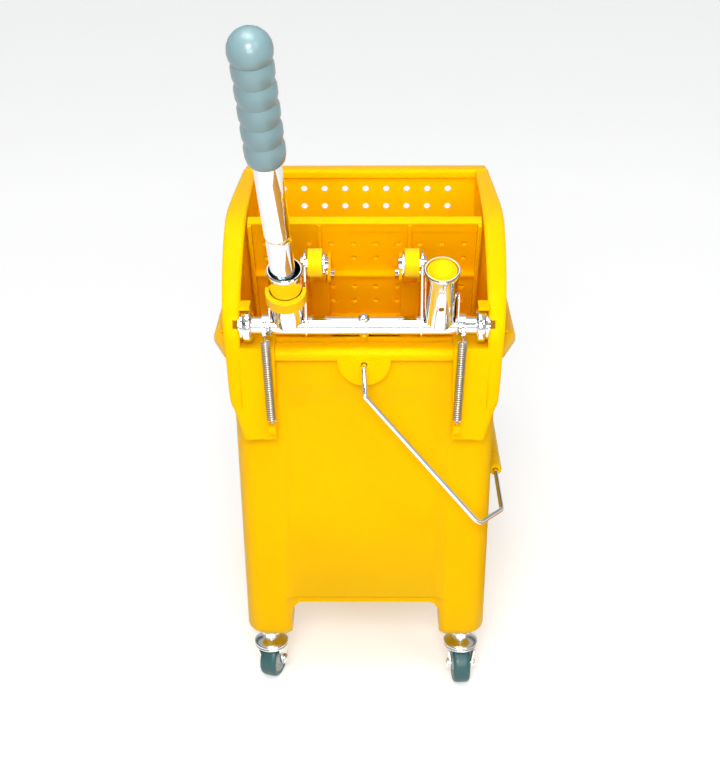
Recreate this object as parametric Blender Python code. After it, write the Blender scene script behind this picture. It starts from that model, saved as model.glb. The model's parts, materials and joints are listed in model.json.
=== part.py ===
"""Mop bucket trolley with a lever press wringer.

Metres, +Z up.  Design axes: X across the bucket, Y from the lever end (front)
to the open end (rear), Z up from the floor.  Y = 0 of the design is the lever
shaft; every object is shifted by -Y_CENTRE so the whole lot stands centred.
"""
import math

import bmesh
import bpy
from mathutils import Matrix, Vector

# ---------------------------------------------------------------- driving sizes
Y_CENTRE = 0.13182           # middle of the overall length
GAP = 0.0003                 # running gap between separate pieces

# bucket
RIM_Z = 0.369                # top of the rim
LIP_DEPTH = 0.011            # height of the rolled lip
LEG_Z = 0.0595               # underside of the legs
ARCH_Z = 0.094               # underside of the body between the legs
FLOOR_Z = 0.0985             # inside floor
FRONT_HALF = 0.115           # half width at the front wall
SIDE_HALF = 0.121            # half width behind the shoulder
LIP_HALF = 0.1345            # half width over the lip
BUCKET_REAR = 0.368
LEG_INNER = 0.071            # half width of the arch between the legs
BAIL_PIVOT_Z = 0.356
BAIL_WIRE_R = 0.00225
BAIL_BAR = (0.1265, 0.200)   # resting position of the long bar (x, z)
BAIL_FRONT_Y = -0.028
BAIL_REAR_Y = 0.402

# wringer
WRINGER_HALF = 0.1062        # inside half width
WALL = 0.003
WRINGER_REAR = 0.201         # inner face of the rear wall
WRINGER_TOP = 0.469
CHEEK_FRONT = -0.012
HOLE_R = 0.0031
HOLE_PITCH = 0.020

# lever and linkage
SHAFT = Vector((0.0, 0.0, 0.3895))
SHAFT_R = 0.008
SHAFT_HALF = 0.1088
LEAN = math.radians(25.5)    # sockets lean to the front
TILT = math.radians(2.85)    # handle stands slack in its socket
SOCKET_X = 0.0648
SOCKET_R = 0.0138
SOCKET_BORE = 0.0127
SOCKET_TOP = 0.069
TUBE_R = 0.0104
GRIP_R = 0.016
DOME_R = 0.0169
GRIP_START, GRIP_DOME = 0.186, 0.2875
CRANK_X = 0.0485
CRANK_PIN = Vector((0.0, -0.0030, 0.4475))
PIN_R = 0.004
PIN_CLEARANCE = 0.0030       # play between crank pin and link eye
LINK_X = 0.0405
LINK_W = 0.012
PLATE_HINGE = Vector((0.0, 0.165, 0.300))
PLATE_LEAN = math.radians(28.0)
PLATE_LENGTH = 0.180
PLATE_HALF = 0.104
PLATE_PIN_UP = 0.1267        # link pin, along the plate
PLATE_PIN_OUT = 0.0180       # link pin, in front of the plate
SPRING_R = 0.0044
SPRING_X = (0.084, 0.0805)   # top and bottom
EYE = Vector((0.0, -0.0168, 0.3905))
SPRING_FOOT = Vector((0.0, -0.0192, 0.304))

# casters
CASTER_X = 0.093
CASTER_Y = (0.027, 0.344)
WHEEL_R, WHEEL_W = 0.019, 0.0165
TRAIL = 0.005

COLOURS = {                  # colour, roughness, metallic
    "yellow": ((1.0, 0.55, 0.0), 0.34, 0.0),
    "chrome": ((0.88, 0.88, 0.89), 0.10, 1.0),
    "spring": ((0.70, 0.70, 0.70), 0.25, 1.0),
    "zinc": ((0.78, 0.80, 0.79), 0.22, 1.0),
    "grip": ((0.16, 0.26, 0.28), 0.42, 0.0),
    "tread": ((0.03, 0.12, 0.12), 0.45, 0.0),
    "core": ((0.42, 0.46, 0.44), 0.45, 0.0),
}
SHARP = math.radians(30)     # edges sharper than this stay crisp
CREATED = []


# ---------------------------------------------------------------- mesh helpers
def mesh_object(name, verts, faces):
    mesh = bpy.data.meshes.new(name)
    mesh.from_pydata([tuple(v) for v in verts], [], faces)
    bm = bmesh.new()
    bm.from_mesh(mesh)
    bmesh.ops.remove_doubles(bm, verts=bm.verts, dist=1e-6)
    bmesh.ops.recalc_face_normals(bm, faces=bm.faces)
    bm.to_mesh(mesh)
    bm.free()
    obj = bpy.data.objects.new(name, mesh)
    bpy.context.scene.collection.objects.link(obj)
    return obj


def loft(name, rings):
    """Closed body through rings of equal length, capped at both ends."""
    n = len(rings[0])
    verts = [p for ring in rings for p in ring]
    faces = []
    for k in range(len(rings) - 1):
        for i in range(n):
            j = (i + 1) % n
            faces.append((k * n + i, k * n + j, (k + 1) * n + j, (k + 1) * n + i))
    faces.append(tuple(reversed(range(n))))
    faces.append(tuple(range((len(rings) - 1) * n, len(rings) * n)))
    return mesh_object(name, verts, faces)


def prism_x(name, outline, x0, x1):
    return loft(name, [[Vector((x, y, z)) for y, z in outline] for x in (x0, x1)])


def prism_y(name, outline, y0, y1):
    return loft(name, [[Vector((x, y, z)) for x, z in outline] for y in (y0, y1)])


def box(name, low, high):
    (x0, y0, z0), (x1, y1, z1) = low, high
    return prism_x(name, [(y0, z0), (y1, z0), (y1, z1), (y0, z1)], x0, x1)


def frame_for(direction, hint=Vector((1, 0, 0))):
    w = Vector(direction).normalized()
    if abs(w.dot(hint)) > 0.95:
        hint = Vector((0, 1, 0))
    u = (hint - w * hint.dot(w)).normalized()
    return u, w.cross(u), w


def lathe(name, profile, origin, direction, segments=20):
    """Body of revolution; profile is (radius, height) along the direction."""
    u, v, w = frame_for(direction)
    origin = Vector(origin)
    verts, rings = [], []
    for r, h in profile:
        if r < 1e-7:
            rings.append([len(verts)])
            verts.append(origin + w * h)
            continue
        ring = []
        for i in range(segments):
            a = 2 * math.pi * i / segments
            ring.append(len(verts))
            verts.append(origin + w * h + (u * math.cos(a) + v * math.sin(a)) * r)
        rings.append(ring)
    closed = len(rings[0]) > 1 and len(rings[-1]) > 1
    pairs = list(zip(rings, rings[1:]))
    if closed:
        pairs.append((rings[-1], rings[0]))
    faces = []
    for a, b in pairs:
        for i in range(segments):
            j = (i + 1) % segments
            quad = (a[i % len(a)], a[j % len(a)], b[j % len(b)], b[i % len(b)])
            face = tuple(dict.fromkeys(quad))
            if len(face) > 2:
                faces.append(face)
    return mesh_object(name, verts, faces)


def rod(name, origin, direction, radius, h0, h1, segments=16):
    return lathe(name, [(0, h0), (radius, h0), (radius, h1), (0, h1)], origin, direction, segments)


def ring_body(name, origin, direction, inner, outer, h0, h1, segments=20):
    return lathe(name, [(inner, h0), (outer, h0), (outer, h1), (inner, h1)], origin, direction, segments)


def rounded(points, radii, steps=4):
    """Polygon with each corner replaced by an arc of equal point count."""
    out = []
    n = len(points)
    for i, (p, r) in enumerate(zip(points, radii)):
        p = Vector(p)
        a = (Vector(points[i - 1]) - p).normalized()
        b = (Vector(points[(i + 1) % n]) - p).normalized()
        if r <= 0:
            out.append(tuple(p))
            continue
        half = math.acos(max(-1, min(1, a.dot(b)))) / 2
        d = r / math.tan(half)
        c = p + (a + b).normalized() * (r / math.sin(half))
        s, e = p + a * d - c, p + b * d - c
        sweep = s.angle_signed(e)
        for k in range(steps + 1):
            t = -sweep * k / steps
            out.append((c.x + s.x * math.cos(t) - s.y * math.sin(t),
                        c.y + s.x * math.sin(t) + s.y * math.cos(t)))
    return out


def capsule(p, q, r_p, r_q, steps=7):
    """Outline of a link with round ends at p and q."""
    p, q = Vector(p), Vector(q)
    base = math.atan2(q.y - p.y, q.x - p.x)
    out = []
    for c, r, start in ((p, r_p, base + math.pi / 2), (q, r_q, base - math.pi / 2)):
        for k in range(steps + 1):
            a = start + math.pi * k / steps
            out.append((c.x + r * math.cos(a), c.y + r * math.sin(a)))
    return out


def fillet_path(points, radii, steps=5):
    out = [Vector(points[0])]
    for i in range(1, len(points) - 1):
        p = Vector(points[i])
        a = (Vector(points[i - 1]) - p).normalized()
        b = (Vector(points[i + 1]) - p).normalized()
        half = a.angle(b) / 2
        d = radii[i - 1] / math.tan(half)
        c = p + (a + b).normalized() * (radii[i - 1] / math.sin(half))
        s, e = p + a * d - c, p + b * d - c
        total = s.angle(e)
        axis = s.cross(e).normalized()
        for k in range(steps + 1):
            out.append(c + Matrix.Rotation(total * k / steps, 3, axis) @ s)
    out.append(Vector(points[-1]))
    return out


def sweep(name, path, radius, sides=10):
    """Round wire along a path, carried without twist."""
    tangents = []
    for i in range(len(path)):
        a, b = path[max(i - 1, 0)], path[min(i + 1, len(path) - 1)]
        tangents.append((b - a).normalized())
    u, v, _ = frame_for(tangents[0])
    rings = []
    for i, (p, t) in enumerate(zip(path, tangents)):
        if i:
            turn = tangents[i - 1].rotation_difference(t)
            u = turn @ u
            v = turn @ v
        rings.append([p + (u * math.cos(a) + v * math.sin(a)) * radius
                      for a in (2 * math.pi * k / sides for k in range(sides))])
    return loft(name, rings)


def combine(base, others, operation):
    for other in others:
        mod = base.modifiers.new("cut", "BOOLEAN")
        mod.solver = "EXACT"
        mod.operation = operation
        mod.object = other
        bpy.context.view_layer.update()
        graph = bpy.context.evaluated_depsgraph_get()
        mesh = bpy.data.meshes.new_from_object(base.evaluated_get(graph), depsgraph=graph)
        base.modifiers.clear()
        base.data = mesh
        bpy.data.objects.remove(other)
    return base


def union(base, *others):
    return combine(base, others, "UNION")


def cut(base, *others):
    return combine(base, others, "DIFFERENCE")


def joined(name, bodies):
    """One object holding several bodies that do not touch (for cutters)."""
    verts, faces = [], []
    for body in bodies:
        start = len(verts)
        verts += [v.co.copy() for v in body.data.vertices]
        faces += [tuple(start + i for i in f.vertices) for f in body.data.polygons]
        bpy.data.objects.remove(body)
    return mesh_object(name, verts, faces)


def material(kind, node):
    """The node's own material, of one of the kinds above."""
    colour, roughness, metallic = COLOURS[kind]
    mat = bpy.data.materials.new(node)
    mat.use_nodes = True
    shader = mat.node_tree.nodes["Principled BSDF"]
    shader.inputs["Base Color"].default_value = (*colour, 1)
    shader.inputs["Roughness"].default_value = roughness
    shader.inputs["Metallic"].default_value = metallic
    return mat


def finish(obj, name, pivot=(0, 0, 0), kind="chrome"):
    """Name the body, give it its material and put its origin on its own turning axis."""
    pivot = Vector(pivot)
    bm = bmesh.new()
    bm.from_mesh(obj.data)
    bmesh.ops.remove_doubles(bm, verts=bm.verts, dist=2e-6)
    bmesh.ops.dissolve_degenerate(bm, edges=bm.edges, dist=1e-6)
    bmesh.ops.triangulate(bm, faces=[f for f in bm.faces if len(f.verts) > 4])
    bmesh.ops.recalc_face_normals(bm, faces=bm.faces)
    bmesh.ops.translate(bm, verts=bm.verts, vec=-pivot)
    bm.to_mesh(obj.data)
    bm.free()
    obj.name = name
    obj.data.name = name
    obj.data.materials.clear()
    obj.data.materials.append(material(kind, name))
    obj.data.shade_smooth()
    obj.data.set_sharp_from_angle(angle=SHARP)
    obj.location = pivot - Vector((0, Y_CENTRE, 0))
    CREATED.append(obj)
    return obj


def side_name(side):
    return "left" if side < 0 else "right"


# ---------------------------------------------------------------- bucket
def bucket_ring(z, front_half, side_half, front, shoulder, rear, radii):
    half = [(front_half, front), (side_half, shoulder), (side_half, rear)]
    points = half + [(-x, y) for x, y in reversed(half)]
    outline = rounded(points, radii + radii[::-1], steps=4)
    return [Vector((x, y, z)) for x, y in outline]


def make_bucket():
    outer, lip, inner = [0.022, 0.05, 0.033], [0.014, 0.018, 0.046], [0.006, 0.05, 0.031]
    rear, shoulder = BUCKET_REAR, 0.036
    lip_low = RIM_Z - LIP_DEPTH
    rings = [
        bucket_ring(LEG_Z, 0.1088, 0.1108, 0.012, 0.060, rear - 0.010, outer),
        bucket_ring(LEG_Z + 0.002, 0.1118, 0.1136, 0.009, 0.060, rear - 0.007, outer),
        bucket_ring(LEG_Z + 0.007, 0.1133, 0.1150, 0.0075, 0.060, rear - 0.0055, outer),
        bucket_ring(lip_low - 0.003, FRONT_HALF, SIDE_HALF, 0.003, 0.060, rear, outer),
        bucket_ring(lip_low, 0.118, LIP_HALF - 0.001, -0.0055, shoulder, rear + 0.013, lip),
        bucket_ring(lip_low + 0.001, 0.119, LIP_HALF, -0.0065, shoulder, rear + 0.014, lip),
        bucket_ring(RIM_Z - 0.004, 0.119, LIP_HALF, -0.0065, shoulder, rear + 0.014, lip),
        bucket_ring(RIM_Z - 0.001, 0.118, LIP_HALF - 0.001, -0.0055, shoulder, rear + 0.013, lip),
        bucket_ring(RIM_Z, 0.116, LIP_HALF - 0.003, -0.0035, shoulder, rear + 0.011, lip),
        bucket_ring(RIM_Z, 0.1115, SIDE_HALF - 0.002, 0.0115, 0.060, rear - 0.003, inner),
        bucket_ring(FLOOR_Z + 0.006, 0.1065, 0.1085, 0.0145, 0.060, rear - 0.0095, inner),
        bucket_ring(FLOOR_Z, 0.101, 0.103, 0.020, 0.060, rear - 0.015, inner),
    ]
    body = loft("bucket", rings)
    arch = rounded([(-LEG_INNER, 0.02), (LEG_INNER, 0.02), (LEG_INNER, ARCH_Z), (-LEG_INNER, ARCH_Z)],
                   [0, 0, 0.010, 0.010])
    side_arch = rounded([(0.052, 0.02), (rear - 0.049, 0.02), (rear - 0.049, ARCH_Z), (0.052, ARCH_Z)],
                        [0, 0, 0.014, 0.014])
    panel = rounded([(-0.073, 0.088), (0.073, 0.088), (0.073, 0.322), (-0.073, 0.322)],
                    [0, 0, 0.012, 0.012])
    sill = rounded([(-0.073, 0.088), (0.073, 0.088), (0.073, 0.103), (-0.073, 0.103)],
                   [0, 0, 0.009, 0.009])
    cut(body,
        prism_y("arch", arch, -0.05, 0.45),
        prism_x("side_arch", side_arch, -0.2, 0.2),
        prism_y("panel", panel, -0.03, 0.0085),
        prism_y("panel_rear", panel, rear - 0.0045, rear + 0.05),
        prism_y("sill", sill, -0.03, 0.0130),
        prism_y("sill_rear", sill, rear - 0.0075, rear + 0.05))
    half_disc = [(0.023 * math.cos(a), RIM_Z - LIP_DEPTH + 0.002 + 0.023 * math.sin(a))
                 for a in (math.pi + math.pi * k / 14 for k in range(15))]
    union(body,
          prism_y("boss", half_disc, -0.0095, 0.0095),
          prism_y("boss_rear", half_disc, rear - 0.0035, rear + 0.0170))
    cut(body,
        rod("bail_hole", (0, 0, BAIL_PIVOT_Z), (0, 1, 0), 0.0029, -0.02, 0.006, 12),
        rod("bail_hole_rear", (0, 0, BAIL_PIVOT_Z), (0, 1, 0), 0.0029, rear + 0.001, rear + 0.04, 12),
        joined("stem_holes", [
            rod("hole", (sx * CASTER_X, y, 0), (0, 0, 1), 0.0053, 0.03, 0.090, 12)
            for sx in (-1, 1) for y in CASTER_Y]))
    finish(body, "bucket_shell", kind="yellow")


def make_bail():
    x, z = BAIL_BAR
    top = BAIL_PIVOT_Z
    arm_x, arm_z = 0.1025, 0.2085
    rear = BUCKET_REAR
    path = fillet_path([
        (0, 0.003, top), (0, -0.0175, top), (0.001, BAIL_FRONT_Y, 0.335),
        (arm_x, BAIL_FRONT_Y, arm_z), (x, 0.012, z), (x, rear - 0.003, z),
        (arm_x, BAIL_REAR_Y, arm_z), (0.001, BAIL_REAR_Y, 0.335),
        (0, rear + 0.0235, top), (0, rear + 0.004, top)],
        [0.006, 0.006, 0.012, 0.012, 0.012, 0.012, 0.006, 0.006])
    finish(sweep("bail", path, BAIL_WIRE_R, 6), "bail_wire", (0, BAIL_FRONT_Y, top))
    grip = lathe("grip", [(0.0027, 0.086), (0.0052, 0.086), (0.0063, 0.089), (0.0063, 0.252),
                          (0.0052, 0.255), (0.0027, 0.255)], (x, 0, z), (0, 1, 0), 14)
    finish(grip, "bail_grip", (0, 0.185, top), "yellow")


# ---------------------------------------------------------------- wringer
def wringer_edge():
    """Front edge of a side seen from the side, with its flange width."""
    return [((0.2035, WRINGER_TOP), 0.1185), ((0.102, 0.4625), 0.1240), ((0.062, 0.449), 0.1243),
            ((0.028, 0.428), 0.1233), ((0.004, 0.408), 0.1218), ((-0.009, 0.388), 0.1203),
            ((CHEEK_FRONT, 0.366), 0.1190), ((CHEEK_FRONT, 0.325), 0.1170),
            ((CHEEK_FRONT, 0.311), 0.1130), ((CHEEK_FRONT, 0.2845), 0.1060)]


def make_wringer():
    half, out = WRINGER_HALF, WRINGER_HALF + WALL
    edge = wringer_edge()
    over = RIM_Z + 0.0004
    notch = 0.0165
    side = [p for p, _ in edge[:6]] + [(CHEEK_FRONT, 0.366 + 0.008), (CHEEK_FRONT, over), (notch, over),
                                       (notch, 0.322), (0.140, 0.282), (0.204, 0.268)]
    side[0] = (0.204, WRINGER_TOP)
    parts = []
    for s in (-1, 1):
        parts.append(prism_x("side", side, s * half, s * out))
        rings = []
        pts = [Vector(p) for p, _ in edge]
        for i, (p, w) in enumerate(edge):
            root = s * min(half, w - 0.008)
            a, b = pts[max(i - 1, 0)], pts[min(i + 1, len(pts) - 1)]
            t = (b - a).normalized()
            n = Vector((-t.y, t.x))
            q = Vector(p) + n * 0.003
            rings.append([Vector((root, p[0], p[1])), Vector((s * w, p[0], p[1])),
                          Vector((s * w, q.x, q.y)), Vector((root, q.x, q.y))])
        parts.append(loft("flange", rings))
        cheek = [(s * 0.077, 0.2845), (s * 0.1055, 0.2845), (s * (out - 0.0015), 0.3725), (s * 0.077, 0.3725)]
        parts.append(prism_y("cheek", cheek, CHEEK_FRONT, CHEEK_FRONT + 0.003))
        parts.append(box("web", (min(s * 0.077, s * (out - 0.0015)), CHEEK_FRONT + 0.001, over),
                         (max(s * 0.077, s * (out - 0.0015)), 0.019, 0.3725)))
        parts.append(box("ledge", (min(s * (out - 0.0015), s * 0.127), 0.030, over),
                         (max(s * (out - 0.0015), s * 0.127), 0.2035, over + 0.003)))
        parts.append(box("tab", (min(s * 0.0775, s * 0.0835), -0.0215, 0.2955),
                         (max(s * 0.0775, s * 0.0835), CHEEK_FRONT + 0.001, 0.3025)))
        parts.append(box("stop", (min(s * 0.0975, s * (half + 0.0005)), -0.006, 0.4055),
                         (max(s * 0.0975, s * (half + 0.0005)), 0.010, 0.4085)))
    body = box("rear", (-out, WRINGER_REAR, 0.2700), (out, WRINGER_REAR + WALL, WRINGER_TOP - 0.001))
    rim = rounded([(0.198, 0.463), (0.214, 0.463), (0.214, 0.4695), (0.198, 0.4695)],
                  [0.0015, 0.002, 0.002, 0.0015], 2)
    floor = [(0.0170, 0.3245), (0.1400, 0.2845), (0.2035, 0.2705), (0.2035, 0.2675),
             (0.1400, 0.2815), (0.0170, 0.3215)]
    union(body,
          prism_x("rim", rim, -0.1185, 0.1185),
          prism_x("floor", floor, -out + 0.0005, out - 0.0005),
          box("front", (-out + 0.0005, notch, 0.3225), (out - 0.0005, notch + WALL, 0.3708)),
          *parts)
    holes = [rod("hole", (ix * HOLE_PITCH, 0, 0.449 - iz * 0.0175), (0, 1, 0), HOLE_R, 0.190, 0.220, 6)
             for ix in range(-4, 5) for iz in range(9)]
    slots = []
    for ix in range(-3, 4):
        for y in (0.055, 0.105, 0.180):
            x = ix * 0.028
            slots.append(box("slot", (x - 0.009, y - 0.006, 0.25), (x + 0.009, y + 0.006, 0.318)))
    cut(body, joined("holes", holes), joined("slots", slots),
        joined("bores", [
            rod("bore", SHAFT, (1, 0, 0), SHAFT_R + GAP, s * half - 0.006, s * half + 0.006, 20)
            for s in (-1, 1)]),
        joined("pin_bores", [
            rod("bore", PLATE_HINGE, (1, 0, 0), PIN_R + GAP, s * out - 0.005, s * out + 0.005, 14)
            for s in (-1, 1)]))
    finish(body, "wringer_body", kind="yellow")
    for s in (-1, 1):
        bush = lathe("bush", [(SHAFT_R + GAP, s * 0.0957), (0.0130, s * 0.0957), (0.0145, s * 0.0977),
                              (0.0145, s * 0.1027), (0.0125, s * 0.1037), (0.0125, s * 0.1058),
                              (SHAFT_R + GAP, s * 0.1058)], SHAFT, (1, 0, 0), 24)
        finish(bush, "shaft_bushing_" + side_name(s))


# ---------------------------------------------------------------- press plate
def plate_point(up, out, x=0.0):
    u = Vector((0, -math.sin(PLATE_LEAN), math.cos(PLATE_LEAN)))
    n = Vector((0, -math.cos(PLATE_LEAN), -math.sin(PLATE_LEAN)))
    return PLATE_HINGE + u * up + n * out + Vector((x, 0, 0))


def plate_box(name, x0, x1, up0, up1, out0, out1):
    outline = [plate_point(u, o) for u, o in ((up0, out0), (up1, out0), (up1, out1), (up0, out1))]
    return prism_x(name, [(p.y, p.z) for p in outline], min(x0, x1), max(x0, x1))


def make_plate():
    w = PLATE_HALF
    body = plate_box("plate", -w, w, 0.004, PLATE_LENGTH, 0.0, 0.003)
    parts = [
        plate_box("top", -w, w, PLATE_LENGTH - 0.003, PLATE_LENGTH, -0.002, 0.0065),
        plate_box("head", -w + 0.001, w - 0.001, PLATE_LENGTH - 0.013, PLATE_LENGTH - 0.001, 0.001, 0.0048),
        plate_box("rib", -w + 0.001, w - 0.001, 0.1105, 0.1135, 0.001, 0.009),
        plate_box("rib_low", -w + 0.001, w - 0.001, 0.0485, 0.0515, 0.001, 0.009),
        rod("barrel", PLATE_HINGE, (1, 0, 0), 0.0075, -w, w, 16),
    ]
    for s in (-1, 1):
        parts.append(plate_box("edge", s * (w - 0.003), s * w, 0.006, PLATE_LENGTH - 0.001, 0.001, 0.0095))
        parts.append(plate_box("upright", s * 0.0388, s * 0.0418, PLATE_PIN_UP, PLATE_LENGTH - 0.002, 0.001, 0.0075))
        parts.append(plate_box("column", s * 0.0335, s * 0.0505, 0.012, PLATE_PIN_UP - 0.016, 0.001, 0.0115))
        for x in (LINK_X - LINK_W / 2 - 0.0035, LINK_X + LINK_W / 2 + 0.0005):
            foot_a, foot_b = plate_point(PLATE_PIN_UP - 0.014, 0.001), plate_point(PLATE_PIN_UP + 0.012, 0.001)
            pin = plate_point(PLATE_PIN_UP, PLATE_PIN_OUT)
            outline = [(foot_b.y, foot_b.z)]
            u = Vector((-math.sin(PLATE_LEAN), math.cos(PLATE_LEAN)))
            n = Vector((-math.cos(PLATE_LEAN), -math.sin(PLATE_LEAN)))
            for k in range(9):
                a = math.pi * k / 8
                p = Vector((pin.y, pin.z)) + (u * math.cos(a) + n * math.sin(a)) * 0.009
                outline.append(tuple(p))
            outline.append((foot_a.y, foot_a.z))
            parts.append(prism_x("lug", outline, min(s * x, s * (x + 0.003)), max(s * x, s * (x + 0.003))))
    union(body, *parts)
    n = plate_point(0, 1) - plate_point(0, 0)
    holes = [rod("hole", plate_point(up, 0, ix * HOLE_PITCH / 2), n, HOLE_R, -0.01, 0.02, 6)
             for ix in range(-9, 10, 2) for up in (0.025, 0.071, 0.091, 0.131, 0.150)
             if not (abs(ix) == 5 and up < 0.14) and not (abs(ix) == 3 and up == 0.131)]
    pin = plate_point(PLATE_PIN_UP, PLATE_PIN_OUT)
    cut(body, joined("holes", holes),
        joined("bores", [rod("bore", pin, (1, 0, 0), 0.0038, s * LINK_X - 0.012, s * LINK_X + 0.012, 14)
                         for s in (-1, 1)]),
        joined("hinge_bores", [rod("bore", PLATE_HINGE, (1, 0, 0), PIN_R + GAP,
                                   s * 0.094 - 0.0125, s * 0.094 + 0.0125, 14) for s in (-1, 1)]))
    finish(body, "press_plate", PLATE_HINGE, "yellow")
    for s in (-1, 1):
        hinge = lathe("pin", [(0, s * 0.083), (PIN_R, s * 0.083), (PIN_R, s * 0.1096), (0.0058, s * 0.1096),
                              (0.0052, s * 0.1104), (0, s * 0.1104)], PLATE_HINGE, (1, 0, 0), 14)
        finish(hinge, "plate_hinge_pin_" + side_name(s))
        c, a = s * LINK_X, LINK_W / 2 + 0.0038
        bolt = lathe("bolt", [(0, c - a - 0.003), (0.0055, c - a - 0.003), (0.006, c - a), (0.0035, c - a),
                              (0.0035, c + a), (0.006, c + a), (0.0055, c + a + 0.003), (0, c + a + 0.003)],
                     pin, (1, 0, 0), 12)
        finish(bolt, "link_bolt_" + side_name(s), pin)


def make_links():
    pin = plate_point(PLATE_PIN_UP, PLATE_PIN_OUT)
    for s in (-1, 1):
        eye = capsule((CRANK_PIN.y, CRANK_PIN.z), (CRANK_PIN.y + 1e-4, CRANK_PIN.z), 0.0122, 0.0122, 9)
        arm = capsule((CRANK_PIN.y, CRANK_PIN.z), (pin.y, pin.z), 0.0085, 0.0085)
        x0, x1 = s * LINK_X - LINK_W / 2, s * LINK_X + LINK_W / 2
        body = union(prism_x("eye", eye, x0, x1), prism_x("arm", arm, x0 + 0.0006, x1 - 0.0006))
        cut(body,
            rod("bore", CRANK_PIN, (1, 0, 0), PIN_R + PIN_CLEARANCE, x0 - 0.01, x1 + 0.01, 20),
            rod("bore", pin, (1, 0, 0), 0.0038, x0 - 0.01, x1 + 0.01, 14))
        finish(body, "push_link_" + side_name(s), pin, "yellow")


# ---------------------------------------------------------------- lever
def lever_point(along, x=0.0, out=0.0):
    up = Vector((0, -math.sin(LEAN), math.cos(LEAN)))
    fore = Vector((0, -math.cos(LEAN), -math.sin(LEAN)))
    return SHAFT + up * along + fore * out + Vector((x, 0, 0))


def make_lever():
    up = lever_point(1) - lever_point(0)
    fore = lever_point(0, 0, 1) - lever_point(0)
    shaft = lathe("shaft", [(0, -SHAFT_HALF), (0.0068, -SHAFT_HALF), (SHAFT_R, -SHAFT_HALF + 0.0012),
                            (SHAFT_R, SHAFT_HALF - 0.0012), (0.0068, SHAFT_HALF), (0, SHAFT_HALF)],
                  SHAFT, (1, 0, 0), 20)
    cut(shaft, rod("hole", lever_point(0), up, 0.0026, -0.02, 0.02, 12))
    finish(shaft, "lever_shaft", SHAFT)
    bolt = lathe("bolt", [(0, -0.0125), (0.0042, -0.0125), (0.0042, -0.0084), (0.0023, -0.0084),
                          (0.0023, 0.0084), (0.0048, 0.0084), (0.0044, 0.0108), (0.0026, 0.0120),
                          (0, 0.0124)], lever_point(0), up, 12)
    finish(bolt, "shaft_bolt", SHAFT)

    for s in (-1, 1):
        base = lever_point(0, s * SOCKET_X)
        tube = lathe("tube", [(SOCKET_BORE, -0.016), (SOCKET_R, -0.016), (SOCKET_R, SOCKET_TOP - 0.006),
                              (0.0149, SOCKET_TOP - 0.004), (0.0151, SOCKET_TOP - 0.0008),
                              (0.0143, SOCKET_TOP), (0.0134, SOCKET_TOP),
                              (SOCKET_BORE, SOCKET_TOP - 0.003)], base, up, 20)
        saddle = rod("saddle", SHAFT, (1, 0, 0), SHAFT_R + GAP, s * SOCKET_X - 0.02, s * SOCKET_X + 0.02, 20)
        mitres = []
        for d in (-1, 1):
            tip = base + up * 0.0055
            a = tip + Vector((d * 0.030, 0, 0)) + up * 0.016
            b = a - up * 0.05
            c = tip - up * 0.05
            mitres.append(loft("mitre", [[p + fore * k for p in (tip, a, b, c)] for k in (-0.03, 0.03)]))
        if s > 0:
            cut(tube, rod("lock", lever_point(0.035, s * SOCKET_X), fore, 0.0024, 0.005, 0.02, 8))
        cut(tube, saddle, *mitres)
        finish(tube, "socket_" + side_name(s), SHAFT)

        pin = Vector((CRANK_PIN.y, CRANK_PIN.z))
        centre = Vector((SHAFT.y, SHAFT.z))
        x0, x1 = s * CRANK_X - 0.0015, s * CRANK_X + 0.0015
        crank = prism_x("crank", capsule(centre, pin, 0.0104, 0.0105), x0, x1)
        cut(crank,
            rod("bore", SHAFT, (1, 0, 0), SHAFT_R + GAP, x0 - 0.01, x1 + 0.01, 20),
            rod("bore", CRANK_PIN, (1, 0, 0), PIN_R + GAP, x0 - 0.01, x1 + 0.01, 14))
        finish(crank, "crank_plate_" + side_name(s), SHAFT)

        inner, face = LINK_X - LINK_W / 2 - 0.0006, CRANK_X + 0.0018
        profile = [(0, inner - 0.0045), (0.0050, inner - 0.0045), (0.0056, inner - 0.0012),
                   (0.0092, inner - 0.0012), (0.0092, inner), (PIN_R, inner), (PIN_R, face),
                   (0.0064, face), (0.0060, face + 0.0022), (0, face + 0.0022)]
        bolt = lathe("bolt", [(r, s * h) for r, h in profile], CRANK_PIN, (1, 0, 0), 14)
        cut(bolt, rod("room", lever_point(0, s * SOCKET_X), up, SOCKET_R + GAP * 4, -0.03, 0.055, 20))
        finish(bolt, "crank_bolt_" + side_name(s), SHAFT)

        top = lever_point(0.034 if s > 0 else 0.017, 0)
        x0 = SOCKET_X + SOCKET_R + 0.0006
        gusset = prism_x("gusset", capsule(centre, (top.y, top.z), 0.0104, 0.0050),
                         min(s * x0, s * (x0 + 0.0014)), max(s * x0, s * (x0 + 0.0014)))
        cut(gusset, rod("bore", SHAFT, (1, 0, 0), SHAFT_R + GAP, s * x0 - 0.01, s * x0 + 0.01, 20))
        finish(gusset, "socket_gusset_" + side_name(s), SHAFT)

        x = s * SPRING_X[0]
        collar = ring_body("collar", SHAFT, (1, 0, 0), SHAFT_R + GAP, 0.0105, x - 0.0030, x + 0.0030, 20)
        eye_at = EYE + Vector((x, 0, 0))
        out = (eye_at - (SHAFT + Vector((x, 0, 0)))).normalized()
        start = SHAFT + Vector((x, 0, 0)) + out * 0.0095
        union(collar, sweep("stalk", [start, start + out * 0.002, eye_at - out * 0.0035], 0.0020, 8))
        loop = ring_body("loop", eye_at, (1, 0, 0), 0.0023, 0.0046, -0.0013, 0.0013, 14)
        union(collar, loop)
        finish(collar, "spring_eye_" + side_name(s), SHAFT)

    plug = lathe("plug", [(0, 0.054), (0.0121, 0.054), (0.0124, 0.064), (0.0124, 0.0676),
                          (0.0114, 0.0681), (0.0086, 0.0645), (0.0045, 0.0612), (0, 0.0602)],
                 lever_point(0, SOCKET_X), up, 24)
    finish(plug, "socket_plug", SHAFT, "yellow")

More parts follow.
